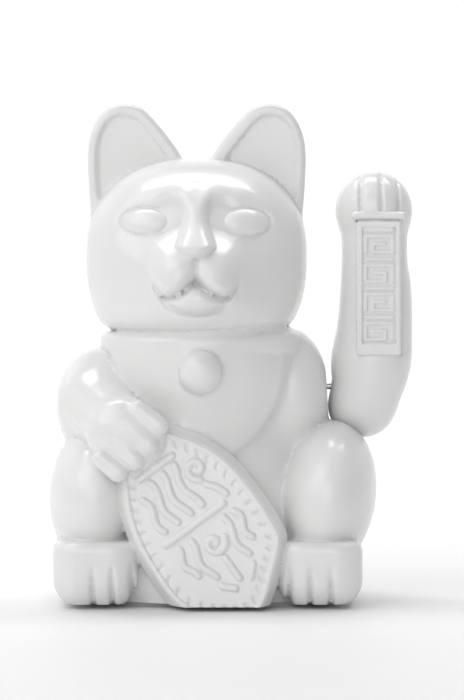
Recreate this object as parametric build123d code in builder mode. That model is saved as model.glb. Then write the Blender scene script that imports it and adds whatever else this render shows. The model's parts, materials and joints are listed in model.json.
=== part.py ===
"""Beckoning cat figurine, in millimetres.

A seated cat in glossy white plastic: hollow front and rear shells joined on the plane y = 0, a raised
arm in two halves that swings on a steel axle, a pendulum drive inside, and one AA cell in the base.
+X is the viewer's right, -Y is the front and +Z is up. The origin is on the base plate's bottom face.
"""

import os
from math import cos, radians, sin

from build123d import *

os.makedirs("parts", exist_ok=True)

# Shells
WALL = 1.8
ARM_WALL = 1.3
BASE_T = 1.4
FLOOR_Z = BASE_T + 2.0

# Head, ears, face, collar and bell
HEAD_X, HEAD_Y, HEAD_Z = -3.6, -2.0, 103.8
HEAD_HALF_X, HEAD_HALF_Y = 33.4, 29.0
HEAD_UP, HEAD_DOWN = 29.2, 35.0
HEAD_LEVELS = (79, 86, 94, HEAD_Z, 112, 120, 126, 130, 132.6)
CROWN_POWER, CHEEK_POWER = 2.3, 2.1
EAR_FRONT_Y, EAR_T, EAR_RECESS, EAR_EDGE = -3.0, 8.0, 1.4, 1.2
EAR_ROOT_Z = 112.0
EAR_POINTS = [(31.0, EAR_ROOT_Z), (33.1, 133.6), (29.1, 146.5), (21.6, 149.9), (12.9, 144.8), (4.3, 132.0)]
RECESS_POINTS = [(28.2, EAR_ROOT_Z), (30.2, 133.0), (26.8, 144.0), (21.6, 146.8), (16.5, 143.2), (9.2, 132.0)]
EYE_U, EYE_Y, EYE_Z, EYE_RADII = 14.75, -25.4, 114.0, (7.1, 3.0, 4.1)
MUZZLE_U, MUZZLE_Y, MUZZLE_Z, MUZZLE_RADII = 6.2, -27.0, 97.5, (9.0, 7.2, 7.2)
NOSE_Y, NOSE_Z, NOSE_RADII = -29.5, 108.0, (5.2, 5.0, 7.5)
CHIN_Y, CHIN_Z, CHIN_RADII = -27.0, 90.5, (8.0, 6.5, 5.0)
COLLAR_X, COLLAR_Y, COLLAR_Z = -1.4, -1.5, 73.6
COLLAR_HALF_X, COLLAR_HALF_Y, COLLAR_H, COLLAR_ROUND = 31.4, 29.0, 9.0, 3.6
BELL_X, BELL_Y, BELL_Z, BELL_R = -2.3, -32.0, 69.5, 6.5

# Torso: level ovals as (z, centre x, centre y, half width, half depth)
TORSO_SECTIONS = [
    (BASE_T, 0, 0, 37.5, 34),
    (5, 0, 0, 39.5, 35.5),
    (22, -1, 1, 39.5, 35),
    (42, -3, 2, 38, 32),
    (58, -4, 2, 35, 29),
    (69, -3.5, 1, 32, 27),
    (77, -2.5, 0, 27, 24),
    (82, -3, -1, 24.5, 21.5),
]

# Rounded masses: centre, radii, turn about Y in degrees
HOLLOW_MASSES = [
    ((-34, -6, 31), (14, 27, 21.5), 0),  # left haunch
    ((34, -6, 31), (14, 27, 22.3), 0),  # right haunch
    ((-33, -3, 58), (13.5, 17, 17.5), 0),  # shoulder of the arm that holds the coban
    ((29.5, -3, 62), (7, 15, 18), 0),  # shoulder beside the swinging arm
    ((-4, -6, 70), (28, 25, 32), 0),  # chest
    ((17, 31, 15), (15, 7.5, 8.5), -12),  # tail, curled round the back
]
SOLID_MASSES = [
    ((-27, -24, 51.5), (20, 9.5, 9.5), 35),  # forearm that holds the coban
    ((-20, -33, 47), (9.5, 8, 9.5), 0),  # its paw
    ((4, 33, 20), (8, 6.5, 10), 0),  # tail tip
]

# Hind feet, rounded blocks that reach forward past the haunches
FOOT_X, FOOT_Y, FOOT_ROUND = 33.0, -17.5, 6.5
FOOT_W, FOOT_D, FOOT_H = 24.5, 44.0, 19.4

# Coban, the oval coin plate that leans on the belly
COBAN_X, COBAN_Z, COBAN_TILT = -2.4, 25.7, 37.7
COBAN_HALF_W, COBAN_HALF_H, COBAN_EDGE = 21.2, 31.4, 2.2
COBAN_FRONT, COBAN_BACK = -41.0, -22.0

# Swinging arm: level ovals, rounded ends, the plaque on its front and the bar below its paw
AXLE_Z, AXLE_R = 64.0, 1.0
ARM_Y = -0.5
ARM_SECTIONS = [
    (62, 49.5, ARM_Y, 11.4, 11.6),
    (76, 50.3, ARM_Y, 11.4, 11.4),
    (90, 50.9, ARM_Y, 10.9, 10.8),
    (104, 50.4, ARM_Y, 9.7, 10.2),
    (118, 50.2, ARM_Y, 10.6, 10.8),
]
ARM_PAW = ((50.1, ARM_Y, 118), (11.5, 11.5, 11))
ARM_ELBOW = ((49.5, ARM_Y, 67), (12.3, 12.5, 18.3))
ARM_BOSS_R, ARM_BOSS_START, ARM_BOSS_END = 3.2, 37.8, 51.0
PLAQUE_LEFT, PLAQUE_RIGHT, PLAQUE_BOTTOM, PLAQUE_TOP = 44.5, 57.8, 73.9, 114.0
PLAQUE_FRONT, PLAQUE_BACK = -13.6, -5.0
PLAQUE_RIM, PLAQUE_RECESS, PLAQUE_CORNER = 1.6, 0.7, 1.2
BAR_R, BAR_LEFT, BAR_RIGHT, BAR_Y, BAR_Z = 1.0, 43.6, 59.0, -11.6, 115.6

# Axle, pendulum lever, magnet and counterweight
AXLE_LEFT, AXLE_RIGHT, AXLE_CHAMFER = -16.0, 50.0, 0.2
SHELL_HOLE_R = 1.8
LEVER_X, LEVER_HUB_R, LEVER_HALF_HUB = 5.0, 3.5, 4.0
LEVER_HALF_T, LEVER_HALF_W = 1.5, 2.5
WEIGHT_R, WEIGHT_LEN, WEIGHT_Y, WEIGHT_Z, WEIGHT_CHAMFER = 7.5, 15.0, 1.06, 45.8, 0.6
CLIP_R, CLIP_T, CLIP_GAP = 2.6, 0.8, 0.5

# Drive frame, bushes, board and coil
FRAME_LEFT, FRAME_RIGHT, FRAME_T = -13.0, 23.0, 2.0
DECK_Z, DECK_HALF_Y = 19.4, 12.0
BOARD_Z = DECK_Z + FRAME_T
BOARD_T, BOARD_MARGIN, BOARD_CORNER = 1.6, 0.5, 1.0
LEG_FRONT, LEG_BACK = -12.0, 1.0
UPRIGHT_HALF_FOOT, UPRIGHT_HALF_TOP = 7.0, 6.0
FOOT_PAD_Z, FOOT_PAD_T, FOOT_PAD_LEN, FOOT_PAD_FRONT, FOOT_PAD_BACK = 6.0, 2.0, 7.0, -10.0, -1.0
BUSH_R, BUSH_FLANGE_R, BUSH_FLANGE_T, RUNNING_GAP = 2.5, 3.5, 0.6, 0.05
COIL_Z = BOARD_Z + BOARD_T
COIL_H, COIL_R, COIL_HUB_R, COIL_BORE_R = 7.0, 8.0, 3.0, 1.5
CHEEK_R, CHEEK_T = 8.5, 0.8
MAGNET_Z, MAGNET_T, MAGNET_R = COIL_Z + COIL_H + 2.0, 3.5, 5.0
HOLDER_R, HOLDER_LOW, HOLDER_TOP = 6.2, MAGNET_Z + 0.5, MAGNET_Z + 5.0

# Base plate, battery well, door and cell
PLATE_W, PLATE_D, PLATE_CORNER, PLATE_Y = 70.0, 56.0, 22.0, 0.5
CELL_R, CELL_LEN, CELL_START, CELL_Y, CELL_Z = 7.25, 49.2, -23.9, 12.0, 9.9
CELL_EDGE, NUB_R, NUB_LEN, DIMPLE_R = 0.6, 2.75, 1.1, 2.0
WELL_HALF_X, WELL_HALF_Y, WELL_TOP, WELL_WALL = 27.0, 8.0, 19.0, 1.2
DOOR_HALF_X, DOOR_HALF_Y, DOOR_GAP, DOOR_RISE = 28.6, 9.8, 0.3, 0.2
DOOR_STEP_Z, DOOR_TOP, DOOR_CORNER = 1.0, 2.0, 0.8
RIDGES, RIDGE_START, RIDGE_PITCH, RIDGE_W, RIDGE_HALF_Y, RIDGE_DEPTH = 5, 18.0, 1.4, 0.7, 4.0, 0.3
CONTACT_T, CONTACT_HALF_Y, CONTACT_LOW, CONTACT_HIGH = 0.4, 4.0, 4.0, 16.0
TAB_HALF_Y, TAB_TOP = 2.5, 21.5
SPRING_WIRE_R, SPRING_R, SPRING_TURNS, SPRING_GAP = 0.3, 3.6, 2.5, 0.02
OPENING_LOW, OPENING_HIGH = (-30, -14), (32, 22)

# Screws, bosses and locating pins
SCREW_R, SCREW_HEAD_R, SLOT_HALF_W, SLOT_DEPTH = 1.0, 2.0, 0.25, 0.4
SCREW_RECESS, SCREW_END, BOSS_R, BOSS_TOP = 0.1, 8.4, 2.6, 10.0
BASE_SCREWS = [(-24.0, -21.0), (24.0, -21.0), (-13.0, 25.2), (13.0, 25.2)]
FRAME_SCREWS = [(FRAME_LEFT - 3.5, -5.5), (FRAME_RIGHT + 3.5, -5.5)]
FRAME_HEAD_T, POST_R, POST_BORE_END, FRAME_SCREW_GAP = 1.4, 3.0, 2.2, 0.15
PIN_PLACES = [(-43.5, 30), (43.5, 30), (HEAD_X - 29.6, 104), (HEAD_X + 29.6, 104)]
PIN_R, PIN_GAP, PIN_BOSS_R, PIN_BOSS_LEN = 1.4, 0.1, 3.0, 5.0
PIN_REACH, PIN_ROOT, PIN_SOCKET = 3.6, 2.0, 4.0

# Board components: place on the board, and size
CAPACITOR_X, CAPACITOR_Y, CAPACITOR_R, CAPACITOR_H = 16.0, 6.5, 2.5, 5.4
TRANSISTOR_X, TRANSISTOR_Y, TRANSISTOR_R, TRANSISTOR_H = 17.2, -7.4, 2.3, 4.5
LEG_H, LEG_PITCH, LEG_HALF = 2.0, 1.27, 0.2
RESISTOR_Y, RESISTOR_START, RESISTOR_END, RESISTOR_R = -9.4, -8.6, -3.4, 1.1
SMALL_ROUND = 0.4

# Insulated battery leads, each from its contact's tab to the board
LEAD_R = 0.6
RUN_SHARE = 0.45
LEAD_ROUTES = {
    "positive_lead": [
        (26.8, 12, TAB_TOP),
        (26.8, 12, 26),
        (25.6, 10, 30.5),
        (21.8, 9.4, 33),
        (18.6, 9.9, 30),
        (18.6, 9.9, COIL_Z),
    ],
    "negative_lead": [
        (-26.8, 12, TAB_TOP),
        (-26.8, 12, 26),
        (-22, 10.5, 30),
        (-15, 9.6, 31),
        (-9.4, 9.2, 28.5),
        (-9.4, 9.2, COIL_Z),
    ],
}


# Forms that the sub-parts share. Each adds to, or cuts from, the part that is open.


def ellipsoid(centre, radii, turn=0.0, inset=0.0, mode=Mode.ADD):
    """A three-axis ellipsoid, turned about Y."""
    ball = scale(Sphere(1, mode=Mode.PRIVATE), by=tuple(r - inset for r in radii), mode=Mode.PRIVATE)
    add(Pos(*centre) * Rot(0, turn, 0) * ball, mode=mode)


def ovals(sections, inset=0.0, mode=Mode.ADD):
    """A smooth form through level ovals."""
    levels = []
    for z, x, y, half_x, half_y in sections:
        with BuildSketch(Plane((x, y, z))) as level:
            Ellipse(half_x - inset, half_y - inset)
        levels.append(level.sketch)
    loft(levels, mode=mode)


def block(low, high, mode=Mode.ADD):
    """A box between two opposite corners."""
    with Locations(tuple((a + b) / 2 for a, b in zip(low, high))):
        Box(*(b - a for a, b in zip(low, high)), mode=mode)


def post(radius, x, y, bottom, top, mode=Mode.ADD):
    """A round bar along Z."""
    with BuildSketch(Plane.XY.offset(bottom)) as section:
        with Locations((x, y)):
            Circle(radius)
    extrude(section.sketch, amount=top - bottom, mode=mode)


def rod(radius, start, end, y=0.0, z=AXLE_Z, mode=Mode.ADD):
    """A round bar along X, on the axle's line unless y and z say otherwise."""
    with BuildSketch(Plane.YZ.offset(start)) as section:
        with Locations((y, z)):
            Circle(radius)
    extrude(section.sketch, amount=end - start, mode=mode)


def peg(radius, x, z, front, back, mode=Mode.ADD):
    """A round bar along Y, across the parting plane."""
    with BuildSketch(Plane.XZ.offset(-back)) as section:
        with Locations((x, z)):
            Circle(radius)
    extrude(section.sketch, amount=back - front, mode=mode)


def save(label, part):
    """Labels a finished piece and writes its STEP file."""
    part.label = label
    export_step(part, f"parts/{label}.step")


# --- Body shells ----------------------------------------------------------------------------


def head(inset=0.0, mode=Mode.ADD):
    """Level ovals up the head: round on top, and full in the cheeks above the collar."""
    sections = []
    for z in HEAD_LEVELS:
        reach, power = (HEAD_UP, CROWN_POWER) if z > HEAD_Z else (HEAD_DOWN, CHEEK_POWER)
        share = (1 - (abs(z - HEAD_Z) / reach) ** power) ** (1 / power)
        level = HEAD_Z + (z - HEAD_Z) * (1 - inset / HEAD_UP) if z > HEAD_Z else z
        sections.append((level, HEAD_X, HEAD_Y, HEAD_HALF_X * share, HEAD_HALF_Y * share))
    ovals(sections, inset, mode)


def ear_outline(side, points):
    """A face through points given as (distance from the head's centre, height), closed at the root."""
    with BuildSketch(Plane.XZ.offset(-EAR_FRONT_Y)) as outline:
        with BuildLine():
            edge = Spline(*((HEAD_X + side * u, z) for u, z in points))
            Polyline(edge @ 1, (HEAD_X + side * points[-1][0], EAR_ROOT_Z), edge @ 0)
        make_face()
    return outline.sketch


def ear(side):
    """One ear, a rounded slab with a shallow recess inside its rim. side is -1 or 1."""
    with BuildPart() as slab:
        extrude(ear_outline(side, EAR_POINTS), amount=-EAR_T)
        front_edges = slab.edges().group_by(Axis.Y)[0].filter_by(GeomType.BSPLINE)
        fillet(front_edges, EAR_EDGE)
        extrude(ear_outline(side, RECESS_POINTS), amount=-EAR_RECESS, mode=Mode.SUBTRACT)
    return slab.part


def coban(inset=0.0):
    """The tilted oval plate, or the hollow behind it when inset is the wall."""
    lean = radians(COBAN_TILT)
    face = Plane((COBAN_X, COBAN_FRONT + inset, COBAN_Z), x_dir=(cos(lean), 0, sin(lean)), z_dir=(0, -1, 0))
    with BuildPart() as plate:
        with BuildSketch(face):
            Ellipse(COBAN_HALF_W - inset, COBAN_HALF_H - inset)
        extrude(amount=-(COBAN_BACK - COBAN_FRONT))
        if not inset:
            fillet(plate.edges().group_by(Axis.Y)[0], COBAN_EDGE)
    return plate.part


def foot(side, inset=0.0):
    """One hind foot. side is -1 or 1."""
    with BuildPart() as toes:
        with Locations((side * FOOT_X, FOOT_Y, BASE_T + FOOT_H / 2)):
            Box(*(size - 2 * inset for size in (FOOT_W, FOOT_D, FOOT_H)))
        fillet(toes.edges(), FOOT_ROUND - inset)
    return toes.part


with BuildPart() as collar:
    with BuildSketch(Plane.XY.offset(COLLAR_Z)):
        with Locations((COLLAR_X, COLLAR_Y)):
            Ellipse(COLLAR_HALF_X, COLLAR_HALF_Y)
    extrude(amount=COLLAR_H)
    fillet(collar.edges(), COLLAR_ROUND)

with BuildPart() as figure:
    ovals(TORSO_SECTIONS)
    for mass in (*HOLLOW_MASSES, *SOLID_MASSES):
        ellipsoid(*mass)
    add(collar.part)
    ellipsoid((BELL_X, BELL_Y, BELL_Z), (BELL_R, BELL_R, BELL_R))
    head()
    for side in (-1, 1):
        ellipsoid((HEAD_X + side * EYE_U, EYE_Y, EYE_Z), EYE_RADII)
        ellipsoid((HEAD_X + side * MUZZLE_U, MUZZLE_Y, MUZZLE_Z), MUZZLE_RADII)
        add(ear(side))
        add(foot(side))
    ellipsoid((HEAD_X, NOSE_Y, NOSE_Z), NOSE_RADII)
    ellipsoid((HEAD_X, CHIN_Y, CHIN_Z), CHIN_RADII)
    add(coban())
    split(bisect_by=Plane.XY.offset(BASE_T), keep=Keep.TOP)

with BuildPart() as hollow:
    ovals(TORSO_SECTIONS, WALL)
    for mass in HOLLOW_MASSES:
        ellipsoid(*mass, inset=WALL)
    head(WALL)
    for side in (-1, 1):
        add(foot(side, WALL))
    add(coban(WALL))
    split(bisect_by=Plane.XY.offset(FLOOR_Z), keep=Keep.TOP)

with BuildPart() as whole_shell:
    add(figure.part)
    add(hollow.part, mode=Mode.SUBTRACT)
    block((*OPENING_LOW, 0), (*OPENING_HIGH, FLOOR_Z + 1), mode=Mode.SUBTRACT)
    for x, y in BASE_SCREWS:
        post(BOSS_R, x, y, BASE_T, BOSS_TOP)
        post(SCREW_R, x, y, 0, SCREW_END, mode=Mode.SUBTRACT)
    for x, z in PIN_PLACES:
        peg(PIN_BOSS_R, x, z, -PIN_BOSS_LEN, PIN_BOSS_LEN)
    rod(SHELL_HOLE_R, LEVER_X, AXLE_RIGHT, mode=Mode.SUBTRACT)

with BuildPart() as front_shell:
    add(whole_shell.part)
    split(bisect_by=Plane.XZ, keep=Keep.TOP)
    for x, z in PIN_PLACES:
        peg(PIN_R + PIN_GAP, x, z, -PIN_SOCKET, 0, mode=Mode.SUBTRACT)

with BuildPart() as rear_shell:
    add(whole_shell.part)
    split(bisect_by=Plane.XZ, keep=Keep.BOTTOM)
    for x, z in PIN_PLACES:
        peg(PIN_R, x, z, -PIN_REACH, PIN_ROOT)

save("front_shell", front_shell.part)
save("rear_shell", rear_shell.part)


# --- Swinging arm ---------------------------------------------------------------------------

with BuildPart() as whole_arm:
    ovals(ARM_SECTIONS)
    ellipsoid(*ARM_ELBOW)
    ellipsoid(*ARM_PAW)
    with BuildSketch(Plane.XZ.offset(-PLAQUE_FRONT)) as plaque_outline:
        with Locations(((PLAQUE_LEFT + PLAQUE_RIGHT) / 2, (PLAQUE_BOTTOM + PLAQUE_TOP) / 2)):
            RectangleRounded(PLAQUE_RIGHT - PLAQUE_LEFT, PLAQUE_TOP - PLAQUE_BOTTOM, PLAQUE_CORNER)
    extrude(plaque_outline.sketch, amount=-(PLAQUE_BACK - PLAQUE_FRONT))
    with BuildSketch(Plane.XZ.offset(-PLAQUE_FRONT)) as plaque_field:
        with Locations(((PLAQUE_LEFT + PLAQUE_RIGHT) / 2, (PLAQUE_BOTTOM + PLAQUE_TOP) / 2)):
            Rectangle(PLAQUE_RIGHT - PLAQUE_LEFT - 2 * PLAQUE_RIM, PLAQUE_TOP - PLAQUE_BOTTOM - 2 * PLAQUE_RIM)
    extrude(plaque_field.sketch, amount=-PLAQUE_RECESS, mode=Mode.SUBTRACT)
    rod(BAR_R, BAR_LEFT, BAR_RIGHT, BAR_Y, BAR_Z)
    ovals(ARM_SECTIONS, ARM_WALL, mode=Mode.SUBTRACT)
    ellipsoid(*ARM_ELBOW, inset=ARM_WALL, mode=Mode.SUBTRACT)
    ellipsoid(*ARM_PAW, inset=ARM_WALL, mode=Mode.SUBTRACT)
    rod(ARM_BOSS_R, ARM_BOSS_START, ARM_BOSS_END)
    rod(AXLE_R, ARM_BOSS_START - ARM_WALL, AXLE_RIGHT, mode=Mode.SUBTRACT)

with BuildPart() as arm_front_shell:
    add(whole_arm.part)
    split(bisect_by=Plane.XZ, keep=Keep.TOP)
save("arm_front_shell", arm_front_shell.part)

with BuildPart() as arm_rear_shell:
    add(whole_arm.part)
    split(bisect_by=Plane.XZ, keep=Keep.BOTTOM)
save("arm_rear_shell", arm_rear_shell.part)

with BuildPart() as axle:
    rod(AXLE_R, AXLE_LEFT, AXLE_RIGHT)
    chamfer(axle.edges().filter_by(GeomType.CIRCLE), AXLE_CHAMFER)
save("axle", axle.part)


# --- Pendulum on the axle -------------------------------------------------------------------

LEVER_LEFT, LEVER_RIGHT = LEVER_X - LEVER_HALF_T, LEVER_X + LEVER_HALF_T
HUB_LEFT, HUB_RIGHT = LEVER_X - LEVER_HALF_HUB, LEVER_X + LEVER_HALF_HUB

with BuildPart() as swing_lever:
    rod(LEVER_HUB_R, HUB_LEFT, HUB_RIGHT)
    block((LEVER_LEFT, -LEVER_HALF_W, HOLDER_LOW + MAGNET_T), (LEVER_RIGHT, LEVER_HALF_W, AXLE_Z))
    post(HOLDER_R, LEVER_X, 0, HOLDER_LOW, HOLDER_TOP)
    post(MAGNET_R, LEVER_X, 0, MAGNET_Z, MAGNET_Z + MAGNET_T, mode=Mode.SUBTRACT)
    rod(AXLE_R, HUB_LEFT, HUB_RIGHT, mode=Mode.SUBTRACT)
save("swing_lever", swing_lever.part)

with BuildPart() as drive_magnet:
    post(MAGNET_R, LEVER_X, 0, MAGNET_Z, MAGNET_Z + MAGNET_T)
save("drive_magnet", drive_magnet.part)

with BuildPart() as counterweight:
    rod(WEIGHT_R, LEVER_X - WEIGHT_LEN / 2, LEVER_X + WEIGHT_LEN / 2, WEIGHT_Y, WEIGHT_Z)
    chamfer(counterweight.edges().filter_by(GeomType.CIRCLE), WEIGHT_CHAMFER)
    slot_low = (LEVER_LEFT, -LEVER_HALF_W, WEIGHT_Z - 2 * WEIGHT_R)
    slot_high = (LEVER_RIGHT, LEVER_HALF_W, WEIGHT_Z + 2 * WEIGHT_R)
    block(slot_low, slot_high, mode=Mode.SUBTRACT)
save("counterweight", counterweight.part)

with BuildPart() as axle_clips:
    for start in (FRAME_LEFT - CLIP_GAP - CLIP_T, FRAME_RIGHT + CLIP_GAP):
        rod(CLIP_R, start, start + CLIP_T)
        rod(AXLE_R, start, start + CLIP_T, mode=Mode.SUBTRACT)
save("axle_clips", axle_clips.part)


# --- Drive frame, bushes and screws ---------------------------------------------------------

with BuildPart() as drive_frame:
    block((FRAME_LEFT, -DECK_HALF_Y, DECK_Z), (FRAME_RIGHT, DECK_HALF_Y, BOARD_Z))
    for x in (FRAME_LEFT, FRAME_RIGHT - FRAME_T):
        block((x, LEG_FRONT, FOOT_PAD_Z), (x + FRAME_T, LEG_BACK, DECK_Z))
        with BuildSketch(Plane.YZ.offset(x)) as upright:
            with BuildLine():
                Polyline(
                    (-UPRIGHT_HALF_TOP, AXLE_Z),
                    (-UPRIGHT_HALF_FOOT, BOARD_Z),
                    (UPRIGHT_HALF_FOOT, BOARD_Z),
                    (UPRIGHT_HALF_TOP, AXLE_Z),
                )
                ThreePointArc(
                    (UPRIGHT_HALF_TOP, AXLE_Z),
                    (0, AXLE_Z + UPRIGHT_HALF_TOP),
                    (-UPRIGHT_HALF_TOP, AXLE_Z),
                )
            make_face()
        extrude(upright.sketch, amount=FRAME_T)
        rod(BUSH_R, x, x + FRAME_T, mode=Mode.SUBTRACT)
    for start in (FRAME_LEFT - FOOT_PAD_LEN, FRAME_RIGHT):
        pad_low = (start, FOOT_PAD_FRONT, FOOT_PAD_Z)
        block(pad_low, (start + FOOT_PAD_LEN, FOOT_PAD_BACK, FOOT_PAD_Z + FOOT_PAD_T))
    for x, y in FRAME_SCREWS:
        post(SCREW_R + FRAME_SCREW_GAP, x, y, FOOT_PAD_Z, FOOT_PAD_Z + FOOT_PAD_T, mode=Mode.SUBTRACT)
save("drive_frame", drive_frame.part)

BUSHES = [
    (FRAME_LEFT, FRAME_LEFT + FRAME_T),
    (FRAME_RIGHT - FRAME_T, FRAME_RIGHT - FRAME_T - BUSH_FLANGE_T),
]
with BuildPart() as axle_bushes:
    for start, flange in BUSHES:
        rod(BUSH_R, start, start + FRAME_T)
        rod(BUSH_FLANGE_R, flange, flange + BUSH_FLANGE_T)
    rod(AXLE_R + RUNNING_GAP, AXLE_LEFT, AXLE_RIGHT, mode=Mode.SUBTRACT)
save("axle_bushes", axle_bushes.part)

with BuildPart() as frame_screws:
    head_z = FOOT_PAD_Z + FOOT_PAD_T
    for x, y in FRAME_SCREWS:
        post(SCREW_HEAD_R, x, y, head_z, head_z + FRAME_HEAD_T)
        post(SCREW_R, x, y, POST_BORE_END, head_z)
        slot_low = (x - SCREW_HEAD_R, y - SLOT_HALF_W, head_z + FRAME_HEAD_T - SLOT_DEPTH)
        slot_high = (x + SCREW_HEAD_R, y + SLOT_HALF_W, head_z + FRAME_HEAD_T)
        block(slot_low, slot_high, mode=Mode.SUBTRACT)
save("frame_screws", frame_screws.part)


# --- Board, coil and components -------------------------------------------------------------

with BuildPart() as circuit_board:
    board_low = (FRAME_LEFT + FRAME_T + BOARD_MARGIN, -DECK_HALF_Y + BOARD_MARGIN, BOARD_Z)
    block(board_low, (FRAME_RIGHT - FRAME_T - BOARD_MARGIN, DECK_HALF_Y - BOARD_MARGIN, COIL_Z))
    fillet(circuit_board.edges().filter_by(Axis.Z), BOARD_CORNER)
save("circuit_board", circuit_board.part)

with BuildPart() as coil_bobbin:
    post(COIL_HUB_R, LEVER_X, 0, COIL_Z, COIL_Z + COIL_H)
    for bottom in (COIL_Z, COIL_Z + COIL_H - CHEEK_T):
        post(CHEEK_R, LEVER_X, 0, bottom, bottom + CHEEK_T)
    post(COIL_BORE_R, LEVER_X, 0, COIL_Z, COIL_Z + COIL_H, mode=Mode.SUBTRACT)
save("coil_bobbin", coil_bobbin.part)

with BuildPart() as coil_winding:
    post(COIL_R, LEVER_X, 0, COIL_Z + CHEEK_T, COIL_Z + COIL_H - CHEEK_T)
    post(COIL_HUB_R, LEVER_X, 0, COIL_Z, COIL_Z + COIL_H, mode=Mode.SUBTRACT)
save("coil_winding", coil_winding.part)

with BuildPart() as capacitor:
    post(CAPACITOR_R, CAPACITOR_X, CAPACITOR_Y, COIL_Z, COIL_Z + CAPACITOR_H)
    fillet(capacitor.edges().filter_by(GeomType.CIRCLE), SMALL_ROUND)
save("capacitor", capacitor.part)

with BuildPart() as transistor:
    case_z = COIL_Z + LEG_H
    post(TRANSISTOR_R, TRANSISTOR_X, TRANSISTOR_Y, case_z, case_z + TRANSISTOR_H)
    flat_low = (TRANSISTOR_X - TRANSISTOR_R, TRANSISTOR_Y + TRANSISTOR_R / 2, case_z)
    flat_high = (TRANSISTOR_X + TRANSISTOR_R, TRANSISTOR_Y + TRANSISTOR_R, case_z + TRANSISTOR_H)
    block(flat_low, flat_high, mode=Mode.SUBTRACT)
    for leg_x in (TRANSISTOR_X - LEG_PITCH, TRANSISTOR_X, TRANSISTOR_X + LEG_PITCH):
        leg_low = (leg_x - LEG_HALF, TRANSISTOR_Y - LEG_HALF, COIL_Z)
        block(leg_low, (leg_x + LEG_HALF, TRANSISTOR_Y + LEG_HALF, case_z))
save("transistor", transistor.part)

with BuildPart() as resistor:
    rod(RESISTOR_R, RESISTOR_START, RESISTOR_END, RESISTOR_Y, COIL_Z + RESISTOR_R)
    fillet(resistor.edges().filter_by(GeomType.CIRCLE), SMALL_ROUND)
save("resistor", resistor.part)


# --- Base plate, its screws, the door, the cell and its contacts -----------------------------

CONTACT_XS = (-WELL_HALF_X, WELL_HALF_X - CONTACT_T)

with BuildPart() as base_plate:
    with BuildSketch(Plane.XY):
        with Locations((0, PLATE_Y)):
            RectangleRounded(PLATE_W, PLATE_D, PLATE_CORNER)
    extrude(amount=BASE_T)
    well_low = (-WELL_HALF_X - WELL_WALL, CELL_Y - WELL_HALF_Y - WELL_WALL, BASE_T)
    block(well_low, (WELL_HALF_X + WELL_WALL, CELL_Y + WELL_HALF_Y + WELL_WALL, WELL_TOP))
    pocket_low = (-WELL_HALF_X, CELL_Y - WELL_HALF_Y, 0)
    pocket_high = (WELL_HALF_X, CELL_Y + WELL_HALF_Y, WELL_TOP - WELL_WALL)
    block(pocket_low, pocket_high, mode=Mode.SUBTRACT)
    door_low = (-DOOR_HALF_X, CELL_Y - DOOR_HALF_Y, 0)
    block(door_low, (DOOR_HALF_X, CELL_Y + DOOR_HALF_Y, DOOR_STEP_Z), mode=Mode.SUBTRACT)
    for x in CONTACT_XS:
        tab_low = (x, CELL_Y - TAB_HALF_Y, CONTACT_HIGH)
        block(tab_low, (x + CONTACT_T, CELL_Y + TAB_HALF_Y, WELL_TOP), mode=Mode.SUBTRACT)
    for x, y in FRAME_SCREWS:
        post(POST_R, x, y, BASE_T, FOOT_PAD_Z)
        post(SCREW_R, x, y, POST_BORE_END, FOOT_PAD_Z, mode=Mode.SUBTRACT)
    with Locations(Plane(origin=(0, 0, 0), x_dir=(1, 0, 0), z_dir=(0, 0, -1))):
        with Locations(*((x, -y) for x, y in BASE_SCREWS)):
            CounterSinkHole(SCREW_R, SCREW_HEAD_R, depth=BASE_T, counter_sink_angle=90)
save("base_plate", base_plate.part)

with BuildPart() as base_screws:
    cone_top = SCREW_HEAD_R - SCREW_R
    for x, y in BASE_SCREWS:
        post(SCREW_R, x, y, SCREW_RECESS, SCREW_END)
        with Locations((x, y, (SCREW_RECESS + cone_top) / 2)):
            Cone(SCREW_HEAD_R - SCREW_RECESS, SCREW_R, cone_top - SCREW_RECESS)
        slot_low = (x - SCREW_HEAD_R, y - SLOT_HALF_W, SCREW_RECESS)
        slot_high = (x + SCREW_HEAD_R, y + SLOT_HALF_W, SCREW_RECESS + SLOT_DEPTH)
        block(slot_low, slot_high, mode=Mode.SUBTRACT)
save("base_screws", base_screws.part)

with BuildPart() as battery_door:
    flange_top = DOOR_STEP_Z - DOOR_GAP
    flange_low = (-DOOR_HALF_X + DOOR_GAP, CELL_Y - DOOR_HALF_Y + DOOR_GAP, DOOR_RISE)
    block(flange_low, (DOOR_HALF_X - DOOR_GAP, CELL_Y + DOOR_HALF_Y - DOOR_GAP, flange_top))
    plug_low = (-WELL_HALF_X + DOOR_GAP, CELL_Y - WELL_HALF_Y + DOOR_GAP, flange_top)
    block(plug_low, (WELL_HALF_X - DOOR_GAP, CELL_Y + WELL_HALF_Y - DOOR_GAP, DOOR_TOP))
    fillet(battery_door.edges().filter_by(Axis.Z), DOOR_CORNER)
    for step in range(RIDGES):
        ridge_x = RIDGE_START + RIDGE_PITCH * step
        ridge_low = (ridge_x, CELL_Y - RIDGE_HALF_Y, DOOR_RISE)
        ridge_high = (ridge_x + RIDGE_W, CELL_Y + RIDGE_HALF_Y, DOOR_RISE + RIDGE_DEPTH)
        block(ridge_low, ridge_high, mode=Mode.SUBTRACT)
save("battery_door", battery_door.part)

CELL_END = CELL_START + CELL_LEN
with BuildPart() as battery_cell:
    rod(CELL_R, CELL_START, CELL_END, CELL_Y, CELL_Z)
    fillet(battery_cell.edges().filter_by(GeomType.CIRCLE), CELL_EDGE)
    rod(NUB_R, CELL_END, CELL_END + NUB_LEN, CELL_Y, CELL_Z)
save("battery_cell", battery_cell.part)


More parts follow.
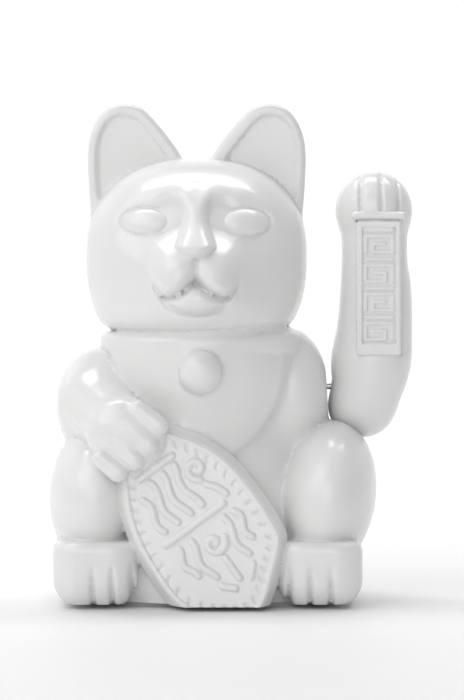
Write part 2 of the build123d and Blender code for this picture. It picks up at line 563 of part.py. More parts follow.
def contact(x):
    """A sprung plate against one end of the well, with a tab up through its roof."""
    block((x, CELL_Y - CONTACT_HALF_Y, CONTACT_LOW), (x + CONTACT_T, CELL_Y + CONTACT_HALF_Y, CONTACT_HIGH))
    block((x, CELL_Y - TAB_HALF_Y, CONTACT_HIGH), (x + CONTACT_T, CELL_Y + TAB_HALF_Y, TAB_TOP))


with BuildPart() as positive_contact:
    contact(CONTACT_XS[1])
    rod(DIMPLE_R, CELL_END + NUB_LEN, CONTACT_XS[1], CELL_Y, CELL_Z)
save("positive_contact", positive_contact.part)

with BuildPart() as negative_contact:
    contact(CONTACT_XS[0])
save("negative_contact", negative_contact.part)

with BuildPart() as contact_spring:
    spring_start = CONTACT_XS[0] + CONTACT_T + SPRING_WIRE_R + SPRING_GAP
    spring_length = CELL_START - SPRING_WIRE_R - SPRING_GAP - spring_start
    with BuildLine() as coil:
        Helix(
            pitch=spring_length / SPRING_TURNS,
            height=spring_length,
            radius=SPRING_R,
            center=(spring_start, CELL_Y, CELL_Z),
            direction=(1, 0, 0),
        )
    with BuildSketch(Plane(origin=coil.line @ 0, z_dir=coil.line % 0)):
        Circle(SPRING_WIRE_R)
    sweep(is_frenet=True)
save("contact_spring", contact_spring.part)


# --- Battery leads --------------------------------------------------------------------------


def bend_radii(route):
    """The largest arc that each corner's two runs allow. Prints them."""
    corners = [Vector(*place) for place in route]
    bends = []
    for before, at, after in zip(corners, corners[1:], corners[2:]):
        half_turn = radians((at - before).get_angle(after - at)) / 2
        shorter = min((at - before).length, (after - at).length)
        bends.append(RUN_SHARE * shorter * cos(half_turn) / sin(half_turn))
    print("bend radii", [round(bend, 1) for bend in bends])
    return bends


for lead_name, route in LEAD_ROUTES.items():
    with BuildPart() as lead:
        with BuildLine() as path:
            FilletPolyline(*route, radius=bend_radii(route))
        with BuildSketch(Plane(origin=path.line @ 0, z_dir=path.line % 0)):
            Circle(LEAD_R)
        sweep()
    save(lead_name, lead.part)
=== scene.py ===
"""Beckoning cat figurine in glossy white plastic, dressed for a picture.

The visible shells are modelled as distance fields in millimetres and turned into meshes: the outer
skin carries the face, ears, coban, paws and plaque, and an inner skin gives the plastic its wall.
+X is the viewer's right, -Y is the front and +Z is up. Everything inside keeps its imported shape.
"""

import json
import math

import bmesh
import bpy
import numpy as np
from mathutils import Matrix, Vector


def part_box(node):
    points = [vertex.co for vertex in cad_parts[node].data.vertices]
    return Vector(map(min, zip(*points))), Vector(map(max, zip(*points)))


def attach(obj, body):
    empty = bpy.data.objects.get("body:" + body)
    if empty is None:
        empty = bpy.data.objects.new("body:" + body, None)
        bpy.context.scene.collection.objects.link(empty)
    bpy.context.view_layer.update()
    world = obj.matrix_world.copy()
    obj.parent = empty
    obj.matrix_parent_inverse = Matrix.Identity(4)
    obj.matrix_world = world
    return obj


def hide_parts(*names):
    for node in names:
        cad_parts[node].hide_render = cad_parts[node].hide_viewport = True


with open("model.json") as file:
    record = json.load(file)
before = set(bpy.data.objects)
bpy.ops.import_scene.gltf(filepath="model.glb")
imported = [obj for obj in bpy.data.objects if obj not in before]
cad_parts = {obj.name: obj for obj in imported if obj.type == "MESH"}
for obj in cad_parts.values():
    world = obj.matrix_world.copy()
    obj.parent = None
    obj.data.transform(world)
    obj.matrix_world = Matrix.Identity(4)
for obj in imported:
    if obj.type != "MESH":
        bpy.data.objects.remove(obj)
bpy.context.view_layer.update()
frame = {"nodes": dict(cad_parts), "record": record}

MM = 0.001
BODY_STEP = 1.35
ARM_STEP = 0.75
INNER_STEP = 2.2
SAMPLE_BLOCK = 400000


# ---------------------------------------------------------------- distance field tools
TINY = 1e-3
FAR = 1e3


def smooth_min(a, b, k):
    """The nearer of two distances, rounded over k millimetres where they meet."""
    h = np.maximum(k - np.abs(a - b), 0) / k
    return np.minimum(a, b) - h * h * k / 4


def smooth_max(a, b, k):
    """The farther of two distances, rounded in the same way."""
    return -smooth_min(-a, -b, k)


def ramp(value, start, end):
    """0 before start, 1 after end and smooth between."""
    t = np.clip((value - start) / (end - start), 0, 1)
    return t * t * (3 - 2 * t)


def turned(a, b, degrees):
    """Coordinates a and b seen from axes that are turned by that angle, from a towards b."""
    c, s = math.cos(math.radians(degrees)), math.sin(math.radians(degrees))
    return a * c + b * s, b * c - a * s


def ellipsoid(p, centre, radii, lean=0.0):
    """Distance to an ellipsoid, which lean turns in the XZ plane, from +X towards +Z."""
    x, y, z = (p[i] - centre[i] for i in range(3))
    if lean:
        x, z = turned(x, z, lean)
    rx, ry, rz = radii
    k0 = np.sqrt((x / rx) ** 2 + (y / ry) ** 2 + (z / rz) ** 2)
    k1 = np.sqrt((x / rx**2) ** 2 + (y / ry**2) ** 2 + (z / rz**2) ** 2)
    return k0 * (k0 - 1) / np.maximum(k1, 1e-6)


def capsule(p, start, end, start_radius, end_radius):
    """A rounded rod whose radius changes evenly from start to end."""
    a, b = np.array(start, float), np.array(end, float)
    axis = b - a
    rel = [p[i] - a[i] for i in range(3)]
    t = np.clip(sum(rel[i] * axis[i] for i in range(3)) / (axis @ axis), 0, 1)
    gap = np.sqrt(sum((rel[i] - t * axis[i]) ** 2 for i in range(3)))
    return gap - start_radius - (end_radius - start_radius) * t


def rounded_box(p, centre, halves, radius):
    q = [np.abs(p[i] - centre[i]) - halves[i] + radius for i in range(3)]
    outside = np.sqrt(sum(np.maximum(v, 0) ** 2 for v in q))
    return outside + np.minimum(np.maximum(np.maximum(q[0], q[1]), q[2]), 0) - radius


def extruded(outline, depth, radius):
    """A plate with rounded edges, from its outline's distance and the distance outside its two faces."""
    a, b = outline + radius, depth + radius
    return np.hypot(np.maximum(a, 0), np.maximum(b, 0)) + np.minimum(np.maximum(a, b), 0) - radius


def superellipse(a, b, half_a, half_b, power):
    """Distance to a flat rounded outline, true near it."""
    size = np.hypot(a, b)
    f = (np.abs(a / half_a) ** power + np.abs(b / half_b) ** power) ** (1 / power)
    return size * (1 - 1 / np.maximum(f, TINY))


class Column:
    """A body of level ovals, smoothed along z.

    Its rows are (z, centre x, centre y, half width, half depth), and blur is the smoothing's spread.
    """

    SPACING = 0.5

    def __init__(self, rows, blur):
        table = np.array(rows, float)
        self.z = np.arange(table[0, 0] - 3 * blur, table[-1, 0] + 3 * blur, self.SPACING)
        weights = np.exp(-0.5 * (np.arange(-3 * blur, 3 * blur + 0.1, self.SPACING) / blur) ** 2)
        weights /= weights.sum()
        reach = len(weights) // 2
        self.values = []
        for column in range(1, 5):
            raw = np.interp(self.z, table[:, 0], table[:, column])
            padded = np.pad(raw, reach, mode="edge")
            self.values.append(np.convolve(padded, weights, mode="same")[reach:-reach])

    def side(self, p):
        cx, cy, hx, hy = (np.interp(p[2], self.z, v) for v in self.values)
        x, y = p[0] - cx, p[1] - cy
        f = np.sqrt((x / hx) ** 2 + (y / hy) ** 2)
        return np.hypot(x, y) * (1 - 1 / np.maximum(f, TINY))


class Outline:
    """Distance to a closed smooth curve through points in a plane, read from a fine table."""

    SPACING = 0.25
    MARGIN = 12.0

    def __init__(self, points, steps=6):
        pts = np.array(points, float)
        before, after, later = np.roll(pts, 1, 0), np.roll(pts, -1, 0), np.roll(pts, -2, 0)
        curve = []
        slope = after - before
        bend = 2 * before - 5 * pts + 4 * after - later
        twist = 3 * pts - before - 3 * after + later
        for t in np.arange(steps) / steps:
            curve.append(0.5 * (2 * pts + slope * t + bend * t**2 + twist * t**3))
        loop = np.stack(curve, 1).reshape(-1, 2)
        self.low = loop.min(0) - self.MARGIN
        count = np.ceil((loop.max(0) + self.MARGIN - self.low) / self.SPACING).astype(int)
        u = self.low[0] + np.arange(count[0])[:, None] * self.SPACING
        v = self.low[1] + np.arange(count[1])[None, :] * self.SPACING
        nearest = np.full(count, 1e9)
        odd = np.zeros(count, bool)
        for a, b in zip(loop, np.roll(loop, -1, 0)):
            e = b - a
            t = np.clip(((u - a[0]) * e[0] + (v - a[1]) * e[1]) / (e @ e), 0, 1)
            nearest = np.minimum(nearest, (u - a[0] - t * e[0]) ** 2 + (v - a[1] - t * e[1]) ** 2)
            crosses = (a[1] > v) != (b[1] > v)
            where = a[0] + (v - a[1]) * e[0] / (e[1] if e[1] else 1e-9)
            odd ^= crosses & (u < where)
        self.table = np.where(odd, -1, 1) * np.sqrt(nearest)
        self.top = count - 2

    def __call__(self, u, v):
        a, b = (u - self.low[0]) / self.SPACING, (v - self.low[1]) / self.SPACING
        ca, cb = np.clip(a, 0, self.top[0] + 0.99), np.clip(b, 0, self.top[1] + 0.99)
        beyond = np.hypot(a - ca, b - cb) * self.SPACING
        i, j = ca.astype(int), cb.astype(int)
        s, t = ca - i, cb - j
        low = self.table[i, j] * (1 - s) + self.table[i + 1, j] * s
        high = self.table[i, j + 1] * (1 - s) + self.table[i + 1, j + 1] * s
        return low * (1 - t) + high * t + beyond


def path_distance(u, v, paths):
    """Distance from flat points to the nearest of several open polylines."""
    nearest = np.full(u.shape, 1e6)
    for path in paths:
        for a, b in zip(path, path[1:]):
            ex, ey = b[0] - a[0], b[1] - a[1]
            t = np.clip(((u - a[0]) * ex + (v - a[1]) * ey) / (ex * ex + ey * ey), 0, 1)
            nearest = np.minimum(nearest, (u - a[0] - t * ex) ** 2 + (v - a[1] - t * ey) ** 2)
    return np.sqrt(nearest)


def bead(distance, half_width, height):
    """Height of a rounded stroke at that distance from its centre line."""
    return height * np.sqrt(np.clip(1 - (distance / half_width) ** 2, 0, 1))


def groove(distance, half_width, depth):
    """Depth of a soft dent at that distance from its centre line."""
    return depth * np.exp(-((distance / half_width) ** 2))


# ---------------------------------------------------------------- the body
FLOOR_Z = 3.4
WALL, ARM_WALL = 1.8, 1.3
HEAD_X, HEAD_Y, HEAD_Z = -3.6, -2.0, 103.8
HEAD_HALF_X, HEAD_HALF_Y, HEAD_UP, HEAD_DOWN = 33.4, 29.0, 29.2, 32.3
HEAD_POWER, CHEEK_POWER, HEAD_CUT = 2.35, 2.55, 81.6
HEAD_ROUND = 3.0
CHIN_FULLNESS, NAPE_FULLNESS, FULLNESS_START, FULLNESS_END = 0.33, 0.2, 5, 23
TORSO = Column(
    [
        (1.4, 0, 0, 37.5, 34), (5, 0, 0, 39.5, 35.5), (22, -1, 1, 39.5, 35), (42, -3, 2, 38, 30),
        (58, -4, 2, 35, 25.5), (69, -3.5, 1, 32, 23), (77, -2.5, 0, 27, 24),
        (82, -3, -1, 24.5, 21.5),
    ],
    3.0,
)
EAR_OUTLINE = Outline(
    [
        (30.5, 108), (32.2, 117), (33.1, 133.6), (31.9, 141.3), (29.1, 146.5), (25.5, 149.1),
        (21.6, 149.7), (16.8, 148.5), (12.9, 144.8), (8.5, 139.4), (4.3, 133.1), (1.0, 124),
        (8, 112),
    ]
)
EAR_FRONT, EAR_BACK, EAR_ROUND = -2.0, 5.5, 1.7
EAR_RIM, EAR_RIM_SHIFT, EAR_RECESS = 3.3, 0.6, 1.0
COBAN_X, COBAN_Z, COBAN_TURN = -2.4, 25.7, 36.0
COBAN_HALF_W, COBAN_HALF_H = 21.2, 31.4
COBAN_OUTLINE = Outline(
    [
        (-27.6, 40.5), (-27.2, 37.0), (-25.8, 28.0), (-22.7, 18.8), (-17.4, 9.7), (-11.6, 2.0),
        (-5.0, -2.4), (6.0, -4.0), (15.0, -2.4), (18.9, 3.0), (21.3, 11.0), (23.4, 20.4),
        (21.6, 26.0), (16.2, 34.5), (9.6, 42.8), (3.9, 47.6), (-1.5, 50.8), (-7.0, 53.0),
        (-13.0, 54.5), (-20.0, 52.0), (-25.5, 46.5),
    ]
)
COBAN_FRONT, COBAN_SLOPE, COBAN_THICK = -41.6, 0.13, 9.0
TICKS, TICK_START, TICK_LENGTH = 40, 1.6, 2.6
BIB_OUTLINE = Outline(
    [
        (26.5, 86.0), (25.2, 77.0), (23.9, 69.5), (21.3, 59.0), (16.2, 51.0), (9.6, 45.4),
        (0.0, 41.5), (-10.0, 44.0), (-18.0, 50.0), (-26.0, 60.0), (-29.5, 70.0), (-31.0, 86.0),
    ]
)


def head_field(p):
    """A rounded block, fuller at chin and nape, cut level at the collar."""
    u, y, w = p[0] - HEAD_X, p[1] - HEAD_Y, p[2] - HEAD_Z
    half_z = np.where(w > 0, HEAD_UP, HEAD_DOWN)
    power = np.where(w > 0, HEAD_POWER, CHEEK_POWER)
    flat = (np.abs(u / HEAD_HALF_X) ** power + np.abs(w / half_z) ** power) ** (2 / power)
    fuller = np.where(y < 0, CHIN_FULLNESS, NAPE_FULLNESS) * ramp(-w, FULLNESS_START, FULLNESS_END)
    f = np.sqrt(flat + (y / HEAD_HALF_Y / (1 + fuller)) ** 2)
    size = np.sqrt(u * u + y * y + w * w)
    ball = size * (1 - 1 / np.maximum(f, TINY))
    return smooth_max(ball, HEAD_CUT - p[2], HEAD_ROUND)


def ear_field(p):
    """Both ears, upright plates with a shallow recess inside their rims."""
    u = np.abs(p[0] - HEAD_X)
    outline = EAR_OUTLINE(u, p[2])
    middle, half = (EAR_FRONT + EAR_BACK) / 2, (EAR_BACK - EAR_FRONT) / 2
    plate = extruded(outline, np.abs(p[1] - middle) - half, EAR_ROUND)
    inset = EAR_OUTLINE(u - EAR_RIM_SHIFT, p[2]) + EAR_RIM
    recess = np.maximum(inset, np.abs(p[1] - EAR_FRONT) - EAR_RECESS)
    return smooth_max(plate, -recess, 0.35)


NOSE_OUTLINE = Outline(
    [
        (0.0, 102.7), (3.4, 104.0), (6.0, 105.8), (5.9, 107.6), (4.6, 112.0), (4.0, 117.0),
        (4.6, 122.5), (0.0, 127.0), (-4.6, 122.5), (-4.0, 117.0), (-4.6, 112.0), (-5.9, 107.6),
        (-6.0, 105.8), (-3.4, 104.0),
    ]
)
# Height of the nose's ridge, as (z, height)
NOSE_HEIGHT = (
    (102, 2.6), (104, 3.6), (106.5, 4.2), (110, 3.6), (115, 2.4), (118.5, 1.4), (122, 0.5),
    (125, 0.0),
)
MOUTH_LINE = (
    (0.0, 95.7), (1.2, 95.2), (3.0, 93.6), (5.0, 92.3), (7.0, 91.5), (8.9, 91.3), (10.4, 92.2),
    (11.8, 94.0), (13.2, 96.6), (14.2, 99.0),
)
MOUTH_END = 14.2
# How steeply the whisker pads round off above the mouth, as (sideways, factor)
PAD_SLOPE = ((0, 0.85), (1.5, 0.72), (5, 0.85), (8, 1.0), (10, 0.8), (13, 0.5))
PAD_HEIGHT, PAD_ROUND = 3.2, 3.8
# Broad forms, as (height, sideways and z of the middle, half widths, lean)
FACE_DOMES = (
    (4.8, (0, 97.0), (27, 19), 0.0),
    (1.5, (7.4, 98.0), (11.5, 11.0), 0.0),
    (-1.8, (13.0, 113.4), (17.0, 12.0), -6),
    (-1.7, (7.0, 114.4), (7.0, 11.0), 0.0),
)
BROW = [(4.5, 121.8), (9.0, 122.0), (15.0, 121.2), (21.0, 118.6), (25.5, 113.6)]
BROW_WIDTH, BROW_HEIGHT = 2.8, 0.6
NOSE_ROUND = 2.6
MOUTH_WIDTH, MOUTH_DEPTH = 0.8, 1.2
LIP_ROUND, LIP_HEIGHT, LIP_RIM_WIDTH, LIP_RIM_DEPTH = 2.2, 1.7, 0.75, 1.3
CHIN_MIDDLE, CHIN_HALVES, CHIN_HEIGHT = (0, 90.6), (9.5, 5.5), 1.3
# Height of the eyes above the plain head, as (sideways, height)
EYE_LEVEL = ((7.8, -2.2), (15.0, -1.3), (22.0, -0.6))
LIP_HALF_W, LIP_DROP, LIP_Z = 9.1, 5.0, 91.5
EYE_U, EYE_Z, EYE_HALF_W, EYE_HALF_H, EYE_RISE = 14.9, 113.9, 7.1, 4.05, 1.35
EYE_RIM, EYE_RIM_WIDTH, EYE_RIM_DEPTH = 1.03, 0.09, 0.35
FACE_BACK, FACE_LOW, FACE_HIGH = -14, 80, 132
FACE_FADE_START, FACE_FADE_END = 15, 21


def dome(u, z, centre, radii, lean=0.0):
    """1 at the centre and 0 from the edge of an oval outwards, smooth all over."""
    a, b = turned(u - centre[0], z - centre[1], lean)
    return np.clip(1 - (a / radii[0]) ** 2 - (b / radii[1]) ** 2, 0, 1) ** 2


def shoulder_round(distance, width):
    """Rises from 0 to 1 over width, steep at the start and level at the end."""
    return np.sin(math.pi / 2 * np.clip(distance / width, 0, 1))


def mouth_relief(u, side, z):
    """Whisker pads, mouth line, groove under the nose and lower lip."""
    line = np.interp(side, *zip(*MOUTH_LINE))
    above = (z - line) * np.interp(side, *zip(*PAD_SLOPE))
    pads = (1 - ramp(side, 7.0, 16.5)) * (1 - ramp(z, 97, 114))
    philtrum = ramp(z, 93.5, 96) * (1 - ramp(z, 101.8, 103.4))
    rise = -philtrum * (groove(side, 0.8, 1.3) + groove(side, 2.6, 0.9))
    rise += PAD_HEIGHT * pads * shoulder_round(above, PAD_ROUND)
    line_end = (1 - ramp(side, 11.5, 14.0)) * (side < MOUTH_END)
    rise -= groove(above, MOUTH_WIDTH, MOUTH_DEPTH) * line_end
    lip = LIP_DROP * (1 - np.hypot(side / LIP_HALF_W, np.minimum(z - LIP_Z, 0) / LIP_DROP))
    below = shoulder_round(-above - 0.1, LIP_ROUND) * (above < 0)
    rise += LIP_HEIGHT * shoulder_round(lip, LIP_ROUND) * below * (z < 96)
    rise += CHIN_HEIGHT * dome(u, z, CHIN_MIDDLE, CHIN_HALVES) * below
    return rise - groove(lip, LIP_RIM_WIDTH, LIP_RIM_DEPTH) * (z < LIP_Z + 0.5)


def face_relief(u, z):
    """How far the face stands forward of the plain head, in millimetres."""
    side = np.abs(u)
    rise = sum(height * dome(side, z, middle, halves, lean) for height, middle, halves, lean in FACE_DOMES)
    rise += groove(path_distance(side, z, [BROW]), BROW_WIDTH, BROW_HEIGHT)
    rise += np.interp(z, *zip(*NOSE_HEIGHT)) * shoulder_round(-NOSE_OUTLINE(u, z), NOSE_ROUND)
    rise += mouth_relief(u, side, z)
    eye = np.hypot((side - EYE_U) / EYE_HALF_W, (z - EYE_Z) / EYE_HALF_H)
    lens = np.interp(side, *zip(*EYE_LEVEL)) + EYE_RISE * (1 - np.clip(eye, 0, 1) ** 3)
    rise = np.where(eye < 1, np.maximum(rise, lens), rise)
    return rise - groove(eye - EYE_RIM, EYE_RIM_WIDTH, EYE_RIM_DEPTH)


def face_field(p, head):
    """The head with its face pressed out of the front."""
    d = head.copy()
    near = (p[1] < FACE_BACK) & (p[2] > FACE_LOW) & (p[2] < FACE_HIGH)
    if near.any():
        x, y, z = (v[near] for v in p)
        d[near] -= face_relief(x - HEAD_X, z) * ramp(-y, FACE_FADE_START, FACE_FADE_END)
    return d


COLLAR_X, COLLAR_Y, COLLAR_Z = -1.4, -1.5, 77.2
COLLAR_HALF_W, COLLAR_HALF_D, COLLAR_HALF_H, COLLAR_ROUND = 31.4, 29.0, 3.8, 3.2


def collar_field(p):
    """The rounded oval band between head and body."""
    ring = superellipse(p[0] - COLLAR_X, p[1] - COLLAR_Y, COLLAR_HALF_W, COLLAR_HALF_D, 2.0)
    return extruded(ring, np.abs(p[2] - COLLAR_Z) - COLLAR_HALF_H, COLLAR_ROUND)


def coban_frame(p):
    """Across, along and face distance on the coban, and the depth behind its face."""
    across, along = turned(p[0] - COBAN_X, p[2] - COBAN_Z, COBAN_TURN)
    edge = COBAN_OUTLINE(p[0], p[2])
    depth = p[1] - COBAN_FRONT - COBAN_SLOPE * p[2]
    return across, along, edge, depth


CURVE_POINTS = 20
SCROLL_POINTS, SCROLL_START = 22, 0.12


def wave(start, end, height, count, phase=0.0):
    """A wavy polyline from start to end."""
    a, b = np.array(start, float), np.array(end, float)
    run = b - a
    side = np.array([-run[1], run[0]]) / np.hypot(*run)
    t = np.linspace(0, 1, CURVE_POINTS)
    lift = height * np.sin(2 * math.pi * count * t + phase)
    return [tuple(a + run * s + side * h) for s, h in zip(t, lift)]


def scroll(centre, size, turns, start):
    """A spiral polyline."""
    t = np.linspace(SCROLL_START, 1, SCROLL_POINTS)
    angle = start + 2 * math.pi * turns * t
    x, y = centre
    return [(x + size * s * math.cos(a), y + size * s * math.sin(a)) for s, a in zip(t, angle)]


WAVE_HEIGHT = 0.9
# Wavy lines on the coban, as (across, far end along, phase)
UPPER_WAVES = ((-9.6, 15.0, 0.0), (-5.4, 18.0, 0.6), (-1.2, 18.0, 1.2), (3.0, 18.0, 1.8))
LOWER_WAVES = ((-10.0, -12.1, 1.8), (-5.8, -15.5, 1.2), (6.2, -15.5, 0.6), (10.2, -12.1, 0.0))
# Generic ornament, as (across, along) on the coban's face: wavy lines, bars and scrolls
COBAN_STROKES = [
    *(wave((a, top), (a, 4.0), WAVE_HEIGHT, 1.0, phase) for a, top, phase in UPPER_WAVES),
    [(-7.0, 20.6), (5.0, 20.6)],
    scroll((8.6, 13.4), 3.4, 1.35, 2.2),
    wave((8.2, 8.0), (11.4, 2.4), 0.5, 0.5),
    [(-11.6, 0.6), (9.0, 0.6)],
    *(wave((a, -3.0), (a, end), WAVE_HEIGHT, 1.0, phase) for a, end, phase in LOWER_WAVES),
    scroll((0.2, -7.2), 3.5, 1.35, 4.0),
    [(0.2, -12.6), (0.2, -19.6)],
    [(-5.4, -18.6), (-2.6, -21.4)],
    [(5.8, -18.6), (3.0, -21.4)],
]
COBAN_CHAMFER, COBAN_CHAMFER_SLOPE, COBAN_CHAMFER_DEPTH = 2.2, 0.42, 5.2
COBAN_SIDE_SCALE, COBAN_ROUND = 0.92, 0.9
TICK_WIDTH, TICK_DEPTH = 0.62, 0.45
STROKE_WIDTH, STROKE_HEIGHT = 1.05, 0.9
BORDER_INSET, BORDER_WIDTH, BORDER_HEIGHT = 3.1, 0.8, 0.4


def coban_field(p):
    """The oval plate in front of the body, with ticks round its edge and raised ornament inside."""
    across, along, edge, depth = coban_frame(p)
    chamfer = COBAN_CHAMFER - COBAN_CHAMFER_SLOPE * np.clip(depth, 0, COBAN_CHAMFER_DEPTH)
    d = smooth_max((edge + chamfer) * COBAN_SIDE_SCALE, -depth, COBAN_ROUND)
    d = smooth_max(d, depth - COBAN_THICK, COBAN_ROUND)
    near = (np.abs(depth) < 3) & (edge < 2)
    if near.any():
        a, b, e = across[near], along[near], edge[near]
        angle = np.arctan2(b / COBAN_HALF_H, a / COBAN_HALF_W)
        turn = angle / (2 * math.pi) * TICKS
        off = np.abs(turn - np.round(turn)) * 2 * math.pi / TICKS
        spacing = np.hypot(COBAN_HALF_W * np.sin(angle), COBAN_HALF_H * np.cos(angle))
        inside = -e - COBAN_CHAMFER - TICK_START
        window = ramp(inside, -0.5, 0.5) * (1 - ramp(inside, TICK_LENGTH - 1.0, TICK_LENGTH))
        dent = groove(off * spacing, TICK_WIDTH, TICK_DEPTH) * window
        rise = bead(path_distance(a, b, COBAN_STROKES), STROKE_WIDTH, STROKE_HEIGHT)
        rise += bead(-e - BORDER_INSET, BORDER_WIDTH, BORDER_HEIGHT)
        d[near] += dent - rise
    return d


# Feet, as (middle x, x of the creases between the toes)
FEET = ((-33.0, (-33.6, -28.0, -22.4)), (33.0, (23.9, 30.1, 36.1)))
FOOT_Y, FOOT_Z, FOOT_HALVES, FOOT_ROUND = -17.5, 15.2, (12.6, 22.0, 15.0), 8.5
FOOT_TOP, INSTEP_ROUND = 20.0, 3.5
TOE_CREASE_WIDTH, TOE_CREASE_DEPTH = 0.8, 1.7


def feet_field(p):
    """Both feet, with creases between the toes that fade backwards and upwards."""
    d = np.full(p[0].shape, FAR)
    for centre, creases in FEET:
        foot = rounded_box(p, (centre, FOOT_Y, FOOT_Z), FOOT_HALVES, FOOT_ROUND)
        foot = smooth_max(foot, p[2] - FOOT_TOP, INSTEP_ROUND)
        for crease in creases:
            window = ramp(-p[1], 24, 34) * (1 - ramp(p[2], 6.0, 15.0))
            foot = foot + groove(p[0] - crease, TOE_CREASE_WIDTH, TOE_CREASE_DEPTH) * window
        d = np.minimum(d, foot)
    return d


# Fingers as (root x and z, tip x and z, radius)
FINGERS = (
    ((-20.5, 58.8), (-14.4, 54.1), 3.1),
    ((-23.2, 53.0), (-17.4, 48.5), 3.2),
    ((-27.4, 48.8), (-21.6, 44.2), 3.2),
    ((-31.2, 44.6), (-26.2, 40.6), 3.0),
)
FINGER_Y, FINGER_LEAN, FINGER_LEVEL, FINGER_TAPER = -37.5, 0.13, 48, 0.3
SHOULDER_MIDDLE, SHOULDER_RADII = (-32.8, -3, 58.5), (13.4, 18, 17.2)
FOREARM_START, FOREARM_END = (-34.0, -15, 59.2), (-26.5, -28.5, 53.2)
FOREARM_RADIUS, WRIST_RADIUS = 10.4, 10.0
HAND_MIDDLE, HAND_RADII, HAND_LEAN = (-23.2, -33.2, 50.2), (11.4, 7.2, 11.6), -38


def holding_arm_field(p):
    """The still arm, whose paw holds the coban."""
    shoulder = ellipsoid(p, SHOULDER_MIDDLE, SHOULDER_RADII)
    forearm = capsule(p, FOREARM_START, FOREARM_END, FOREARM_RADIUS, WRIST_RADIUS)
    d = smooth_min(shoulder, forearm, 5.0)
    d = smooth_min(d, ellipsoid(p, HAND_MIDDLE, HAND_RADII, HAND_LEAN), 3.0)
    for root, tip, radius in FINGERS:
        ends = [(x, FINGER_Y + FINGER_LEAN * (z - FINGER_LEVEL), z) for x, z in (root, tip)]
        d = smooth_min(d, capsule(p, *ends, radius - FINGER_TAPER, radius), 1.0)
    return d


# The seated mass as ellipsoids: (middle, radii, lean, blend into the rest)
MASSES = (
    # Shoulder beside the swinging arm
    ((25.5, -3, 60), (11.3, 16, 21.0), 0.0, 6.0),
    # Chest
    ((-1.5, -4.5, 70), (26.5, 24.5, 28), 0.0, 4.0),
    # Thighs
    ((-33.4, -8.5, 31), (14.5, 29.5, 22.0), 0.0, 1.2),
    ((35.2, -8.5, 31), (15.2, 29.5, 23.4), -10, 1.2),
)
TORSO_TOP, TORSO_ROUND, CLEARANCE_ROUND = 84, 3.0, 0.8


def trunk_field(p):
    """The seated mass without detail, which the inner skin follows too."""
    d = smooth_max(TORSO.side(p), p[2] - TORSO_TOP, TORSO_ROUND)
    for middle, radii, lean, blend in MASSES:
        d = smooth_min(d, ellipsoid(p, middle, radii, lean), blend)
    return smooth_max(d, -arm_clearance(p), CLEARANCE_ROUND)


# Tail, curled round the back, as (x, y, z, radius)
TAIL = (
    (28.0, 21.0, 12.5, 6.6), (23.0, 26.5, 11.5, 7.2), (16.5, 30.0, 11.5, 7.6),
    (10.0, 31.6, 13.0, 7.4), (5.5, 31.8, 17.0, 6.9), (3.8, 31.2, 22.0, 6.2),
    (3.6, 30.4, 26.5, 5.4),
)
AXLE_Z = 64.0
ELBOW_X, ELBOW_REACH, ELBOW_SWEEP_X, ELBOW_SWEEP_R, SWEEP_SCALE = 46.6, 6.0, 10.9, 10.6, 10


def tail_field(p):
    """The tail as a chain of tapered rods."""
    d = np.full(p[0].shape, FAR)
    for a, b in zip(TAIL, TAIL[1:]):
        d = np.minimum(d, capsule(p, a[:3], b[:3], a[3], b[3]))
    return d


def arm_clearance(p):
    """Negative where the elbow sweeps as it swings about the axle."""
    reach = np.maximum(np.hypot(p[1], p[2] - AXLE_Z) - ELBOW_REACH, 0)
    return SWEEP_SCALE * (np.hypot((p[0] - ELBOW_X) / ELBOW_SWEEP_X, reach / ELBOW_SWEEP_R) - 1)


BIB_BACK, BIB_LOW, BIB_RISE, BIB_ROUND = -6, 36, 2.3, 2.6
BELL_MIDDLE, BELL_RADII = (-2.2, -31.6, 69.6), (6.5, 6.5, 6.5)
# What is joined to the trunk, and over how many millimetres
BODY_PARTS = (
    (holding_arm_field, 0.9),
    (feet_field, 1.0),
    (tail_field, 2.0),
    (coban_field, 0.35),
    (collar_field, 0.4),
)


def body_field(p):
    """The whole outside of the body, head and face included."""
    d = trunk_field(p)
    near = (p[1] < BIB_BACK) & (p[2] > BIB_LOW)
    if near.any():
        x, y, z = (v[near] for v in p)
        d[near] -= BIB_RISE * shoulder_round(-BIB_OUTLINE(x, z), BIB_ROUND) * ramp(-y, 8, 15)
    for part, blend in BODY_PARTS:
        d = smooth_min(d, part(p), blend)
    head = face_field(p, head_field(p))
    head = smooth_min(head, ear_field(p), 0.5)
    d = smooth_min(d, head, 0.35)
    return smooth_min(d, ellipsoid(p, BELL_MIDDLE, BELL_RADII), 0.3)


NECK_X, NECK_Y, NECK_Z, NECK_HALF_W, NECK_HALF_D, NECK_HALF_H = -2.5, -1, 80, 24, 22, 10
HEAD_HOLLOW_LOW, HOLLOW_BLEND = 76, 2.0
# The hollow is made this much deeper than the floor, and is cut open there
HOLLOW_UNDERCUT = 3


def body_inside(p):
    """Negative in the hollow of the body."""
    head = smooth_max(head_field(p), HEAD_HOLLOW_LOW - p[2], 1.0)
    neck = superellipse(p[0] - NECK_X, p[1] - NECK_Y, NECK_HALF_W, NECK_HALF_D, 2.0)
    neck = smooth_max(neck, np.abs(p[2] - NECK_Z) - NECK_HALF_H, HOLLOW_BLEND)
    hollow = smooth_min(smooth_min(trunk_field(p), head, HOLLOW_BLEND), neck, HOLLOW_BLEND) + WALL
    return np.maximum(hollow, FLOOR_Z - HOLLOW_UNDERCUT - p[2])


